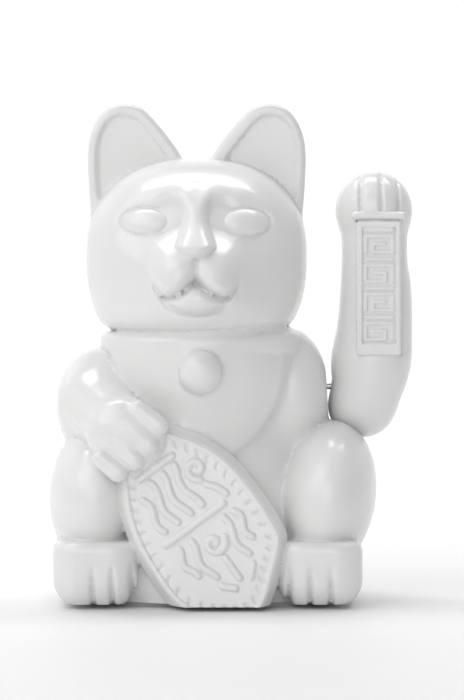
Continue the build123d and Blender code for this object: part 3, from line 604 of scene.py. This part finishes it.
# ---------------------------------------------------------------- the swinging arm
AXLE_HOLE = 1.8
ARM_Y = -0.5
ARM = Column(
    [
        (49, 44.8, ARM_Y, 5.0, 6.0), (52, 46.0, ARM_Y, 6.9, 8.6), (55, 47.1, ARM_Y, 8.4, 10.2),
        (59, 48.1, ARM_Y, 10.0, 11.4), (64, 48.9, ARM_Y, 11.3, 12.2),
        (70, 49.4, ARM_Y, 12.4, 12.6), (73.7, 49.5, ARM_Y, 12.4, 12.3),
        (78, 50.2, ARM_Y, 11.7, 11.6), (86, 50.8, ARM_Y, 11.1, 11.0),
        (95, 50.9, ARM_Y, 10.7, 10.8), (101, 50.4, ARM_Y, 9.9, 10.4),
        (110, 50.4, ARM_Y, 9.9, 10.2), (116, 50.2, ARM_Y, 10.9, 10.7),
    ],
    2.6,
)
PAW_TOP = ((50.2, ARM_Y, 117.6), (11.6, 11.6, 11.6))
ELBOW_END = ((46.6, ARM_Y, 58.0), (10.2, 10.8, 9.6))
PLAQUE_LEFT, PLAQUE_RIGHT, PLAQUE_LOW, PLAQUE_HIGH = 44.5, 57.8, 73.9, 114.0
PLAQUE_FRONT = -13.6
FIELD_LEFT, FIELD_RIGHT, FIELD_LOW, FIELD_HIGH = 46.1, 56.4, 77.3, 112.3
PLAQUE_HALF_D, PLAQUE_ROUND, FIELD_DEPTH = 4.5, 0.7, 0.8
FRET_WIDTH, FRET_HEIGHT, FRET_MARGIN, FRET_BAR = 0.62, 0.7, 1.1, 3.5
FRET_MIDDLES = (107.9, 99.2, 90.5, 81.8)


def fret(middle, mirrored):
    """Square spiral under a bar, a generic border motif that fills one panel of the plaque."""
    x0, x1 = FIELD_LEFT + FRET_MARGIN, FIELD_RIGHT - FRET_MARGIN
    outer = [(x0, -3.1), (x0, 1.7), (x1, 1.7), (x1, -3.1)]
    spiral = [*outer, (x0 + 2.2, -3.1), (x0 + 2.2, -0.6), (x1 - 2.4, -0.6)]
    if mirrored:
        spiral = [(x0 + x1 - x, z) for x, z in spiral]
    bar = [(x0, FRET_BAR), (x1, FRET_BAR)]
    return [[(x, middle + z) for x, z in path] for path in (spiral, bar)]


PLAQUE_STROKES = [path for k, z in enumerate(FRET_MIDDLES) for path in fret(z, k % 2 == 1)]


ARM_LOW, ARM_HIGH, ARM_END_ROUND = 52.5, 118.5, 4.0


def arm_smooth(p):
    """The arm without detail, which its inner skin follows too."""
    d = smooth_max(ARM.side(p), ARM_LOW - p[2], ARM_END_ROUND)
    d = smooth_max(d, p[2] - ARM_HIGH, ARM_END_ROUND)
    d = smooth_min(d, ellipsoid(p, *PAW_TOP), 1.5)
    return smooth_min(d, ellipsoid(p, *ELBOW_END), 3.0)


def plaque_field(p):
    """The upright plaque on the arm, with a sunk field of square spirals."""
    cx, cz = (PLAQUE_LEFT + PLAQUE_RIGHT) / 2, (PLAQUE_LOW + PLAQUE_HIGH) / 2
    halves = ((PLAQUE_RIGHT - PLAQUE_LEFT) / 2, PLAQUE_HALF_D, (PLAQUE_HIGH - PLAQUE_LOW) / 2)
    block = rounded_box(p, (cx, PLAQUE_FRONT + PLAQUE_HALF_D, cz), halves, PLAQUE_ROUND)
    across = np.abs(p[0] - (FIELD_LEFT + FIELD_RIGHT) / 2) - (FIELD_RIGHT - FIELD_LEFT) / 2
    upright = np.abs(p[2] - (FIELD_LOW + FIELD_HIGH) / 2) - (FIELD_HIGH - FIELD_LOW) / 2
    flat = np.maximum(across, upright)
    recess = np.maximum(flat, p[1] - PLAQUE_FRONT - FIELD_DEPTH)
    block = smooth_max(block, -recess, 0.2)
    near = (flat < 0.5) & (np.abs(p[1] - PLAQUE_FRONT) < 3)
    if near.any():
        strokes = path_distance(p[0][near], p[2][near], PLAQUE_STROKES)
        block[near] -= bead(strokes, FRET_WIDTH, FRET_HEIGHT)
    return block


POCKET_X, POCKET_Z, POCKET_HALF_W, POCKET_HALF_H, POCKET_FLOOR = 52.3, 94.4, 7.7, 20.2, -8.6
TOE_SLOTS, SLOT_WIDTH, SLOT_DEPTH = (45.8, 51.9, 57.0), 0.62, 1.15
BAR_START, BAR_END, BAR_RADIUS = (44.3, -11.6, 115.7), (58.2, -11.6, 115.7), 1.25
BOSS_RADIUS, BOSS_X, BOSS_HALF_LENGTH, CORE_END = 3.2, 44.3, 6.4, 51.0
HOLLOW_MARGIN = 0.6


def arm_field(p):
    """The whole outside of the swinging arm."""
    d = arm_smooth(p)
    across, upright = np.abs(p[0] - POCKET_X) - POCKET_HALF_W, np.abs(p[2] - POCKET_Z) - POCKET_HALF_H
    pocket = np.maximum(np.maximum(across, upright), p[1] - POCKET_FLOOR)
    d = smooth_max(d, -pocket, 1.0)
    top = ramp(p[2], 115.6, 118) * ramp(-p[1], 1.0, 6.0)
    for x in TOE_SLOTS:
        d = d + groove(p[0] - x, SLOT_WIDTH, SLOT_DEPTH) * top
    d = smooth_min(d, plaque_field(p), 0.25)
    d = smooth_min(d, capsule(p, BAR_START, BAR_END, BAR_RADIUS, BAR_RADIUS), 0.3)
    boss = np.maximum(np.hypot(p[1], p[2] - AXLE_Z) - BOSS_RADIUS, np.abs(p[0] - BOSS_X) - BOSS_HALF_LENGTH)
    return smooth_min(d, boss, 0.6)


def arm_inside(p):
    """Negative in the hollow of the arm, round the solid core that the axle goes into."""
    hollow = arm_smooth(p) + ARM_WALL + HOLLOW_MARGIN
    hollow = smooth_max(hollow, POCKET_FLOOR + ARM_WALL - p[1], 1.0)
    core = np.maximum(np.hypot(p[1], p[2] - AXLE_Z) - BOSS_RADIUS, p[0] - CORE_END)
    return smooth_max(hollow, -core, 0.4)


# ---------------------------------------------------------------- fields to meshes
def sampled(field, points):
    """The field at many points, in blocks that fit in memory."""
    out = np.empty(len(points), np.float32)
    for start in range(0, len(points), SAMPLE_BLOCK):
        part = points[start : start + SAMPLE_BLOCK].astype(np.float32)
        out[start : start + SAMPLE_BLOCK] = field((part[:, 0], part[:, 1], part[:, 2]))
    return out


DIAGONAL_ROUNDS = 6
JUST_INSIDE = 0.02


def without_diagonals(values):
    """Grid values in which no square face is inside at two opposite corners and outside at the other two."""
    values = values.copy()
    for _ in range(DIAGONAL_ROUNDS):
        for one, two in ((0, 1), (0, 2), (1, 2)):
            corners = []
            for a, b in ((0, 0), (1, 1), (1, 0), (0, 1)):
                cut = [slice(None)] * 3
                cut[one] = slice(a, values.shape[one] - 1 + a)
                cut[two] = slice(b, values.shape[two] - 1 + b)
                corners.append(values[tuple(cut)])
            inside = [corner < 0 for corner in corners]
            crossed = (inside[0] == inside[1]) & (inside[2] == inside[3]) & (inside[0] != inside[2])
            for first, second in ((0, 1), (2, 3)):
                outer = crossed & ~inside[first]
                nearer = corners[first] <= corners[second]
                corners[first][outer & nearer] = -JUST_INSIDE
                corners[second][outer & ~nearer] = -JUST_INSIDE
    return values


def grid_surface(field, low, high, step):
    """Closed surface where the field is zero, as points and triangles."""
    axes = [np.arange(a, b + step, step) for a, b in zip(low, high)]
    shape = tuple(len(a) for a in axes)
    grid = np.stack(np.meshgrid(*axes, indexing="ij"), -1).reshape(-1, 3)
    values = without_diagonals(sampled(field, grid).reshape(shape))
    cells = tuple(n - 1 for n in shape)
    sums, count = np.zeros((3, np.prod(cells))), np.zeros(np.prod(cells))
    rims = []
    for axis in range(3):
        first = [slice(None)] * 3
        second = [slice(None)] * 3
        first[axis], second[axis] = slice(0, -1), slice(1, None)
        a, b = values[tuple(first)], values[tuple(second)]
        crossing = np.argwhere((a < 0) != (b < 0))
        i, j, k = crossing.T
        va, vb = a[i, j, k], b[i, j, k]
        place = crossing.astype(float)
        place[:, axis] += va / (va - vb)
        others = [n for n in range(3) if n != axis]
        around = []
        for da, db in ((0, 0), (-1, 0), (-1, -1), (0, -1)):
            cell = crossing.copy()
            cell[:, others[0]] += da
            cell[:, others[1]] += db
            index = np.ravel_multi_index(tuple(cell.T), cells, mode="clip")
            around.append(index)
            count += np.bincount(index, minlength=len(count))
            for n in range(3):
                sums[n] += np.bincount(index, weights=place[:, n], minlength=len(count))
        quads = np.stack(around, 1)
        # The four cells run the other way round the Y axis, since its two others are X and Z
        flip = (va < 0) if axis != 1 else (va >= 0)
        quads[flip] = quads[flip][:, ::-1]
        rims.append(quads)
    used = count > 0
    number = np.full(len(count), -1)
    number[used] = np.arange(used.sum())
    points = (sums[:, used] / count[used]).T * step + np.array(low)
    quads = number[np.concatenate(rims)]
    one = np.linalg.norm(points[quads[:, 0]] - points[quads[:, 2]], axis=1)
    two = np.linalg.norm(points[quads[:, 1]] - points[quads[:, 3]], axis=1)
    # Each quad is split along its shorter diagonal
    swap = two < one
    quads[swap] = np.roll(quads[swap], 1, axis=1)
    triangles = np.concatenate([quads[:, [0, 2, 1]], quads[:, [0, 3, 2]]])
    return points, triangles


TETRA = np.array([(1, -1, -1), (-1, -1, 1), (-1, 1, -1), (1, 1, 1)], float)
PROBE, RIM_PROBE, LEAST_SLOPE = 0.12, 0.1, 0.05


def field_slope(field, points, probe):
    """Slope of the field in x, y and z, from four samples round each point."""
    slope = np.zeros_like(points)
    for corner in TETRA:
        slope += corner * sampled(field, points + corner * probe)[:, None]
    return slope / (4 * probe)


def settled(field, points, reach, rounds):
    """Points moved along the field's slope on to the surface, each round by no more than reach."""
    for _ in range(rounds):
        value = sampled(field, points)
        slope = field_slope(field, points, PROBE)
        size = np.maximum((slope**2).sum(1), LEAST_SLOPE)
        move = -slope * (value / size)[:, None]
        length = np.linalg.norm(move, axis=1)
        points = points + move * np.minimum(1, reach / np.maximum(length, 1e-9))[:, None]
    return points


def refined(points, triangles, chosen):
    """Splits the edges whose two ends are chosen, and the triangles beside them to suit."""
    pairs = np.concatenate([triangles[:, [0, 1]], triangles[:, [1, 2]], triangles[:, [2, 0]]])
    key = np.sort(pairs, 1)
    code = key[:, 0].astype(np.int64) * len(points) + key[:, 1]
    unique, back = np.unique(code, return_inverse=True)
    a, b = unique // len(points), unique % len(points)
    split = chosen[a] & chosen[b]
    number = np.full(len(unique), -1)
    number[split] = len(points) + np.arange(split.sum())
    points = np.concatenate([points, (points[a[split]] + points[b[split]]) / 2])
    mid = number[back].reshape(3, -1).T
    marks = (mid >= 0).sum(1)
    made = [triangles[marks == 0]]
    t, m = triangles[marks == 3], mid[marks == 3]
    made += [
        np.stack([t[:, 0], m[:, 0], m[:, 2]], 1),
        np.stack([m[:, 0], t[:, 1], m[:, 1]], 1),
        np.stack([m[:, 2], m[:, 1], t[:, 2]], 1),
        np.stack([m[:, 0], m[:, 1], m[:, 2]], 1),
    ]
    for n in range(3):
        turn = [n, (n + 1) % 3, (n + 2) % 3]
        one = (marks == 1) & (mid[:, n] >= 0)
        t, m = triangles[one][:, turn], mid[one, n]
        made += [np.stack([t[:, 0], m, t[:, 2]], 1), np.stack([m, t[:, 1], t[:, 2]], 1)]
        two = (marks == 2) & (mid[:, n] < 0)
        t, m, w = triangles[two][:, turn], mid[two, (n + 1) % 3], mid[two, (n + 2) % 3]
        made += [
            np.stack([m, t[:, 2], w], 1),
            np.stack([t[:, 0], t[:, 1], m], 1),
            np.stack([t[:, 0], m, w], 1),
        ]
    return points, np.concatenate(made)


BODY_ZONES = (
    # (x, y and z ranges in millimetres, how many times their edges are halved)
    ((-31, 24), (-60, -15), (84, 125), 1),
    ((-27, 20), (-60, -17), (108, 120), 2),
    ((-50, 50), (-60, -30), (-2, 60), 1),
    ((-38, 31), (-5, 0), (116, 152), 1),
    ((-35, 32), (-60, -10), (72, 84), 1),
    ((-20, 13), (-60, -22), (85, 109), 2),
    ((-30, 24), (-60, -33), (-1, 52), 2),
)
ARM_ZONES = (
    ((40, 64), (-16, -8), (72, 131), 1),
    ((44, 59), (-16, -12), (73, 115), 2),
)


def zone_choice(points, zones, level):
    """Which points lie in a zone that is refined at least that many times."""
    chosen = np.zeros(len(points), bool)
    for xs, ys, zs, depth in zones:
        if depth >= level:
            inside = np.ones(len(points), bool)
            for n, (low, high) in enumerate((xs, ys, zs)):
                inside &= (points[:, n] > low) & (points[:, n] < high)
            chosen |= inside
    return chosen


def sculpted(field, low, high, step, zones):
    """The detailed outer skin: an even net, then finer where the zones ask for it."""
    points, triangles = grid_surface(field, low, high, step)
    points = settled(field, points, 0.5 * step, 3)
    for level in ((1, 2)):
        points, triangles = refined(points, triangles, zone_choice(points, zones, level))
        points = settled(field, points, 0.35 * step / level, 2)
    return points, triangles


def bmesh_of(points, triangles):
    """A bmesh from arrays of points and triangles."""
    mesh = bpy.data.meshes.new("work")
    mesh.from_pydata(points.tolist(), [], triangles.tolist())
    work = bmesh.new()
    work.from_mesh(mesh)
    bpy.data.meshes.remove(mesh)
    return work


def cut_away(work, point, normal):
    """Removes what lies beyond the plane and leaves the cut open."""
    geometry = work.verts[:] + work.edges[:] + work.faces[:]
    bmesh.ops.bisect_plane(work, geom=geometry, dist=1e-5, plane_co=point, plane_no=normal, clear_outer=True)
    bmesh.ops.delete(work, geom=[v for v in work.verts if not v.link_faces], context="VERTS")


def open_edges(work):
    return [e for e in work.edges if len(e.link_faces) < 2]


def joined(first, second):
    """Both meshes in one, as a new bmesh."""
    meshes = []
    whole = bmesh.new()
    for part in (first, second):
        mesh = bpy.data.meshes.new("work")
        part.to_mesh(mesh)
        whole.from_mesh(mesh)
        meshes.append(mesh)
    for mesh in meshes:
        bpy.data.meshes.remove(mesh)
    return whole


def floor_with_opening(work, corners, low, high):
    """Closes the bottom of the body round a rectangular opening."""
    (x0, y0), (x1, y1) = corners
    ring = ((x0, y0), (x1, y0), (x1, y1), (x0, y1))
    loops = [[work.verts.new((x, y, z)) for x, y in ring] for z in (low, high)]
    rims = []
    for loop in loops:
        rims.append([work.edges.new((loop[n], loop[(n + 1) % 4])) for n in range(4)])
    for z, rim in zip((low, high), rims):
        bound = [e for e in open_edges(work) if all(abs(v.co.z - z) < TINY for v in e.verts)]
        bmesh.ops.triangle_fill(work, use_beauty=True, edges=list(dict.fromkeys(bound + rim)))
    for n in range(4):
        m = (n + 1) % 4
        work.faces.new((loops[0][n], loops[0][m], loops[1][m], loops[1][n]))


PARTING_GAP, RIM_EASE, RIM_REACH = 0.04, 0.18, 0.35


def half(work, field, plane_y, keep_front):
    """One side of the closed shell, capped on the parting plane, with its outer rim a little eased."""
    part = work.copy()
    sign = 1 if keep_front else -1
    level = plane_y - sign * PARTING_GAP
    cut_away(part, (0, level, 0), (0, sign, 0))
    rim = open_edges(part)
    verts = list(dict.fromkeys(v for e in rim for v in e.verts))
    points = np.array([v.co for v in verts])
    outer = np.abs(sampled(field, points)) < RIM_REACH
    slope = field_slope(field, points, RIM_PROBE)
    slope[:, 1] = 0
    slope /= np.maximum(np.linalg.norm(slope, axis=1), 1e-6)[:, None]
    for vert, point, way, out in zip(verts, points, slope, outer):
        if out:
            vert.co = point - way * RIM_EASE
    bmesh.ops.triangle_fill(part, use_beauty=True, edges=rim)
    return part


SHARP_ANGLE = 52


def finished(work, name, body, node):
    """The piece in metres, shaded smooth with its real corners sharp, in place of its CAD node."""
    bmesh.ops.recalc_face_normals(work, faces=work.faces[:])
    bmesh.ops.scale(work, vec=(MM, MM, MM), verts=work.verts[:])
    mesh = bpy.data.meshes.new(name)
    work.to_mesh(mesh)
    work.free()
    mesh.shade_smooth()
    mesh.set_sharp_from_angle(angle=math.radians(SHARP_ANGLE))
    mesh.materials.append(WHITE_GLOSS)
    piece = bpy.data.objects.new(name, mesh)
    bpy.context.scene.collection.objects.link(piece)
    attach(piece, body)
    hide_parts(node)
    return piece


# ---------------------------------------------------------------- materials
def shader(name, base, roughness, **direct):
    """A new material with its Principled shader, colour and roughness as plain numbers."""
    material = bpy.data.materials.new(name)
    material.use_nodes = True
    principled = material.node_tree.nodes["Principled BSDF"]
    principled.inputs["Base Color"].default_value = (*base, 1)
    principled.inputs["Roughness"].default_value = roughness
    for socket, value in direct.items():
        principled.inputs[socket.replace("_", " ")].default_value = value
    return material, principled


NOISE_DETAIL, BUMP_DISTANCE, COAT_ROUGHNESS = 3.0, 0.0002, 0.12
PLASTIC_CLOUD, PLASTIC_GRAIN, METAL_CLOUD, METAL_GRAIN = 60, 900, 250, 1800


def noise(material, scale, stretch):
    """Output of a noise texture in the object's own coordinates."""
    nodes, links = material.node_tree.nodes, material.node_tree.links
    place = nodes.new("ShaderNodeTexCoord")
    mapping = nodes.new("ShaderNodeMapping")
    mapping.inputs["Scale"].default_value = stretch
    texture = nodes.new("ShaderNodeTexNoise")
    texture.inputs["Scale"].default_value = scale
    texture.inputs["Detail"].default_value = NOISE_DETAIL
    links.new(place.outputs["Object"], mapping.inputs["Vector"])
    links.new(mapping.outputs["Vector"], texture.inputs["Vector"])
    return texture.outputs["Fac"]


def varied(material, principled, dark, light, rough, scale, bump_scale, bump, stretch=(1, 1, 1)):
    """Colour between dark and light, roughness between rough's two values, and a fine bump."""
    nodes, links = material.node_tree.nodes, material.node_tree.links
    cloud = noise(material, scale, stretch)
    tint = nodes.new("ShaderNodeMix")
    tint.data_type = "RGBA"
    tint.inputs["A"].default_value = (*dark, 1)
    tint.inputs["B"].default_value = (*light, 1)
    links.new(cloud, tint.inputs["Factor"])
    links.new(tint.outputs["Result"], principled.inputs["Base Color"])
    spread = nodes.new("ShaderNodeMapRange")
    spread.inputs["To Min"].default_value, spread.inputs["To Max"].default_value = rough
    links.new(cloud, spread.inputs["Value"])
    links.new(spread.outputs["Result"], principled.inputs["Roughness"])
    relief = nodes.new("ShaderNodeBump")
    relief.inputs["Strength"].default_value = bump
    relief.inputs["Distance"].default_value = BUMP_DISTANCE
    links.new(noise(material, bump_scale, stretch), relief.inputs["Height"])
    links.new(relief.outputs["Normal"], principled.inputs["Normal"])
    return material


def plastic(name, dark, light, rough, coat=0.0, bump=0.05):
    """A moulded plastic or a lacquer, slightly uneven, with a clear gloss of weight coat."""
    material, principled = shader(name, light, rough[0], Coat_Weight=coat, Coat_Roughness=COAT_ROUGHNESS)
    return varied(material, principled, dark, light, rough, PLASTIC_CLOUD, PLASTIC_GRAIN, bump)


def metal(name, dark, light, rough, stretch=(1, 1, 1), bump=0.1):
    """A bare or plated metal, with its grain drawn out where stretch says."""
    material, principled = shader(name, light, rough[0], Metallic=1.0)
    return varied(material, principled, dark, light, rough, METAL_CLOUD, METAL_GRAIN, bump, stretch)


WHITE_DARK, WHITE_LIGHT = (0.815, 0.815, 0.81), (0.83, 0.83, 0.825)
WHITE_GLOSS = plastic("white_gloss", WHITE_DARK, WHITE_LIGHT, (0.25, 0.28), coat=0.25, bump=0.015)
COPPER_DARK, COPPER_LIGHT = (0.45, 0.16, 0.07), (0.62, 0.25, 0.12)
MATERIALS = {
    "base_plastic": plastic("white_base", (0.74, 0.74, 0.73), (0.80, 0.80, 0.79), (0.36, 0.46), bump=0.12),
    "frame_plastic": plastic("cream_frame", (0.62, 0.60, 0.55), (0.70, 0.68, 0.62), (0.42, 0.5), bump=0.12),
    "steel": metal("steel", (0.50, 0.51, 0.53), (0.62, 0.63, 0.65), (0.22, 0.34), stretch=(0.1, 1, 1)),
    "zinc_screw": metal("zinc", (0.55, 0.56, 0.58), (0.68, 0.69, 0.71), (0.28, 0.42)),
    "brass": metal("brass", (0.62, 0.47, 0.20), (0.74, 0.58, 0.27), (0.22, 0.34)),
    "magnet": metal("magnet_nickel", (0.48, 0.48, 0.47), (0.58, 0.58, 0.57), (0.16, 0.26)),
    "contact": metal("contact_nickel", (0.58, 0.57, 0.54), (0.70, 0.69, 0.66), (0.24, 0.36)),
    "bobbin": plastic("bobbin_nylon", (0.70, 0.69, 0.64), (0.78, 0.77, 0.72), (0.4, 0.5), bump=0.1),
    "enamelled_wire": metal("copper_wire", COPPER_DARK, COPPER_LIGHT, (0.25, 0.38), (1, 1, 14), 0.6),
    "board": plastic("board_laminate", (0.25, 0.17, 0.07), (0.34, 0.24, 0.11), (0.4, 0.55), bump=0.1),
    "component_black": plastic("black_epoxy", (0.02, 0.02, 0.02), (0.035, 0.035, 0.035), (0.4, 0.5)),
    "component_blue": plastic("blue_sleeve", (0.02, 0.06, 0.22), (0.03, 0.09, 0.30), (0.3, 0.4)),
    "component_tan": plastic("tan_lacquer", (0.50, 0.36, 0.20), (0.60, 0.45, 0.27), (0.3, 0.4)),
    "cell": plastic("cell_sleeve", (0.10, 0.11, 0.12), (0.16, 0.17, 0.18), (0.28, 0.36), coat=0.2),
    "lead_red": plastic("red_sleeve", (0.45, 0.02, 0.02), (0.60, 0.04, 0.03), (0.4, 0.5)),
    "lead_black": plastic("black_sleeve", (0.02, 0.02, 0.02), (0.04, 0.04, 0.04), (0.4, 0.5)),
}


def dress_cad_nodes():
    """Gives every CAD node that isn't replaced the finish of its material slot."""
    for part in frame["record"]["subparts"]:
        node = frame["nodes"][part["node"]]
        slot = part["material_slot"]
        if slot in MATERIALS:
            node.data.materials.clear()
            node.data.materials.append(MATERIALS[slot])


# ---------------------------------------------------------------- build
# Opening in the body's floor, above the base plate, as two (x, y) corners
OPENING = ((-30, -14), (32, 22))
# Sampled boxes, as (low corner, high corner)
BODY_SPACE, HOLLOW_SPACE = ((-52, -48, -4), (52, 42, 153)), ((-50, -40, -4), (50, 40, 140))
ARM_SPACE, ARM_HOLLOW_SPACE = ((32, -18, 44), (66, 15, 133)), ((34, -14, 44), (66, 14, 132))
ARM_INNER_STEP = 1.6
# The outside is closed this far under the table, and is cut off at the base
UNDER_TABLE = 1.6
DRILL_START, DRILL_END, DRILL_SIDES = 33.0, 38.6, 40


def body_outer(p):
    """The outside of the body, closed below its base."""
    return np.maximum(body_field(p), -UNDER_TABLE - p[2])


def drill():
    """The cylinder, along X, that the axle's clearance hole is cut with."""
    middle = Vector(((DRILL_START + DRILL_END) / 2 * MM, 0, AXLE_Z * MM))
    work = bmesh.new()
    bmesh.ops.create_cone(
        work,
        cap_ends=True,
        segments=DRILL_SIDES,
        radius1=AXLE_HOLE * MM,
        radius2=AXLE_HOLE * MM,
        depth=(DRILL_END - DRILL_START) * MM,
        matrix=Matrix.Translation(middle) @ Matrix.Rotation(math.pi / 2, 4, "Y"),
    )
    mesh = bpy.data.meshes.new("drill")
    work.to_mesh(mesh)
    work.free()
    tool = bpy.data.objects.new("drill", mesh)
    bpy.context.scene.collection.objects.link(tool)
    return tool


def bored(piece, solver):
    """Cuts the axle's hole through the piece's right wall, with the solver that leaves its mesh closed."""
    tool = drill()
    cut = piece.modifiers.new("axle_hole", "BOOLEAN")
    cut.operation, cut.object, cut.solver = "DIFFERENCE", tool, solver
    bpy.context.view_layer.update()
    graph = bpy.context.evaluated_depsgraph_get()
    made = bpy.data.meshes.new_from_object(piece.evaluated_get(graph))
    piece.modifiers.clear()
    piece.data = made
    bpy.data.objects.remove(tool)


def hollow_skin(field, space, step, reach):
    """The inner side of a wall, as a bmesh whose faces look into the hollow."""
    points, triangles = grid_surface(field, *space, step)
    points = settled(field, points, reach, 2)
    return bmesh_of(points, triangles[:, ::-1])


def build_body():
    """Front and rear shells, parted on the plane through the origin."""
    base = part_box("front_shell")[0].z / MM
    outer = bmesh_of(*sculpted(body_outer, *BODY_SPACE, BODY_STEP, BODY_ZONES))
    cut_away(outer, (0, 0, base), (0, 0, -1))
    inner = hollow_skin(body_inside, HOLLOW_SPACE, INNER_STEP, 1.0)
    cut_away(inner, (0, 0, FLOOR_Z), (0, 0, -1))
    whole = joined(outer, inner)
    floor_with_opening(whole, OPENING, base, FLOOR_Z)
    front = half(whole, body_field, 0.0, True)
    rear = half(whole, body_field, 0.0, False)
    bored(finished(front, "front_shell_skin", "body", "front_shell"), "EXACT")
    bored(finished(rear, "rear_shell_skin", "body", "rear_shell"), "FAST")


def build_arm():
    """The two halves of the swinging arm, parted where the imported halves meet."""
    outer = bmesh_of(*sculpted(arm_field, *ARM_SPACE, ARM_STEP, ARM_ZONES))
    inner = hollow_skin(arm_inside, ARM_HOLLOW_SPACE, ARM_INNER_STEP, 0.8)
    whole = joined(outer, inner)
    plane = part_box("arm_front_shell")[1].y / MM
    front = half(whole, arm_field, plane, True)
    rear = half(whole, arm_field, plane, False)
    finished(front, "arm_front_skin", "arm", "arm_front_shell")
    finished(rear, "arm_rear_skin", "arm", "arm_rear_shell")


def sweep():
    """A round pale floor that curves up into a wall far away on every side."""
    hub, ring, radius, curve, height, steps, spokes = 0.001, 0.5, 2.0, 0.8, 3.2, 16, 96
    profile = [(hub, 0.0), (ring, 0.0), (radius, 0.0)]
    for n in range(1, steps + 1):
        a = math.pi / 2 * n / steps
        profile.append((radius + curve * math.sin(a), curve * (1 - math.cos(a))))
    profile.append((radius + curve, height))
    points, faces = [], []
    for reach, z in profile:
        for k in range(spokes):
            a = 2 * math.pi * k / spokes
            points.append((reach * math.cos(a), reach * math.sin(a), z))
    for n in range(len(profile) - 1):
        for k in range(spokes):
            m = (k + 1) % spokes
            faces.append((n * spokes + k, n * spokes + m, (n + 1) * spokes + m, (n + 1) * spokes + k))
    mesh = bpy.data.meshes.new("floor")
    mesh.from_pydata(points, [], faces)
    mesh.shade_smooth()
    material, principled = shader("floor_paper", (0.9, 0.9, 0.9), 0.5)
    varied(material, principled, (0.90, 0.90, 0.90), (0.92, 0.92, 0.92), (0.45, 0.55), 8, 300, 0.0)
    mesh.materials.append(material)
    floor = bpy.data.objects.new("floor", mesh)
    bpy.context.scene.collection.objects.link(floor)


def softbox(name, place, aim, size, watts):
    """A rectangular area light that faces aim."""
    data = bpy.data.lights.new(name, "AREA")
    data.shape = "RECTANGLE"
    data.size, data.size_y = size
    data.energy = watts
    lamp = bpy.data.objects.new(name, data)
    lamp.location = place
    lamp.rotation_euler = (Vector(aim) - Vector(place)).to_track_quat("-Z", "Y").to_euler()
    bpy.context.scene.collection.objects.link(lamp)


WORLD_STRENGTH = 0.16


def light_room():
    """Three soft lights on the cat, one on the wall behind it and a dim white world."""
    middle = (0.0, 0.0, 0.08)
    softbox("key", (-0.7, -0.5, 0.85), middle, (1.0, 1.0), 5.2)
    softbox("front", (-0.15, -1.5, 0.55), middle, (1.0, 0.8), 4.4)
    softbox("top", (0.0, 0.1, 1.1), middle, (0.9, 0.6), 0.8)
    softbox("wall", (0.0, 0.6, 2.0), (0.0, 2.4, 0.4), (2.2, 0.9), 46.0)
    world = bpy.data.worlds.new("studio")
    world.use_nodes = True
    background = world.node_tree.nodes["Background"]
    background.inputs["Color"].default_value = (1, 1, 1, 1)
    background.inputs["Strength"].default_value = WORLD_STRENGTH
    bpy.context.scene.world = world
    bpy.context.scene.view_settings.view_transform = "Standard"


CAMERA_AIM, CAMERA_RANGE, CAMERA_RISE, LENS = (0.0071, 0.0, 0.075), 0.9, 2.0, 152.0


def place_camera():
    """The camera in front of the cat and a little above its middle, at the photograph's angle."""
    data = bpy.data.cameras.new("camera")
    data.lens = LENS
    data.clip_start, data.clip_end = 0.05, 20.0
    camera = bpy.data.objects.new("camera", data)
    rise = math.radians(CAMERA_RISE)
    aim = Vector(CAMERA_AIM)
    camera.location = aim + CAMERA_RANGE * Vector((0, -math.cos(rise), math.sin(rise)))
    camera.rotation_euler = (aim - camera.location).to_track_quat("-Z", "Y").to_euler()
    bpy.context.scene.collection.objects.link(camera)
    bpy.context.scene.camera = camera


build_body()
build_arm()
dress_cad_nodes()
sweep()
light_room()
place_camera()
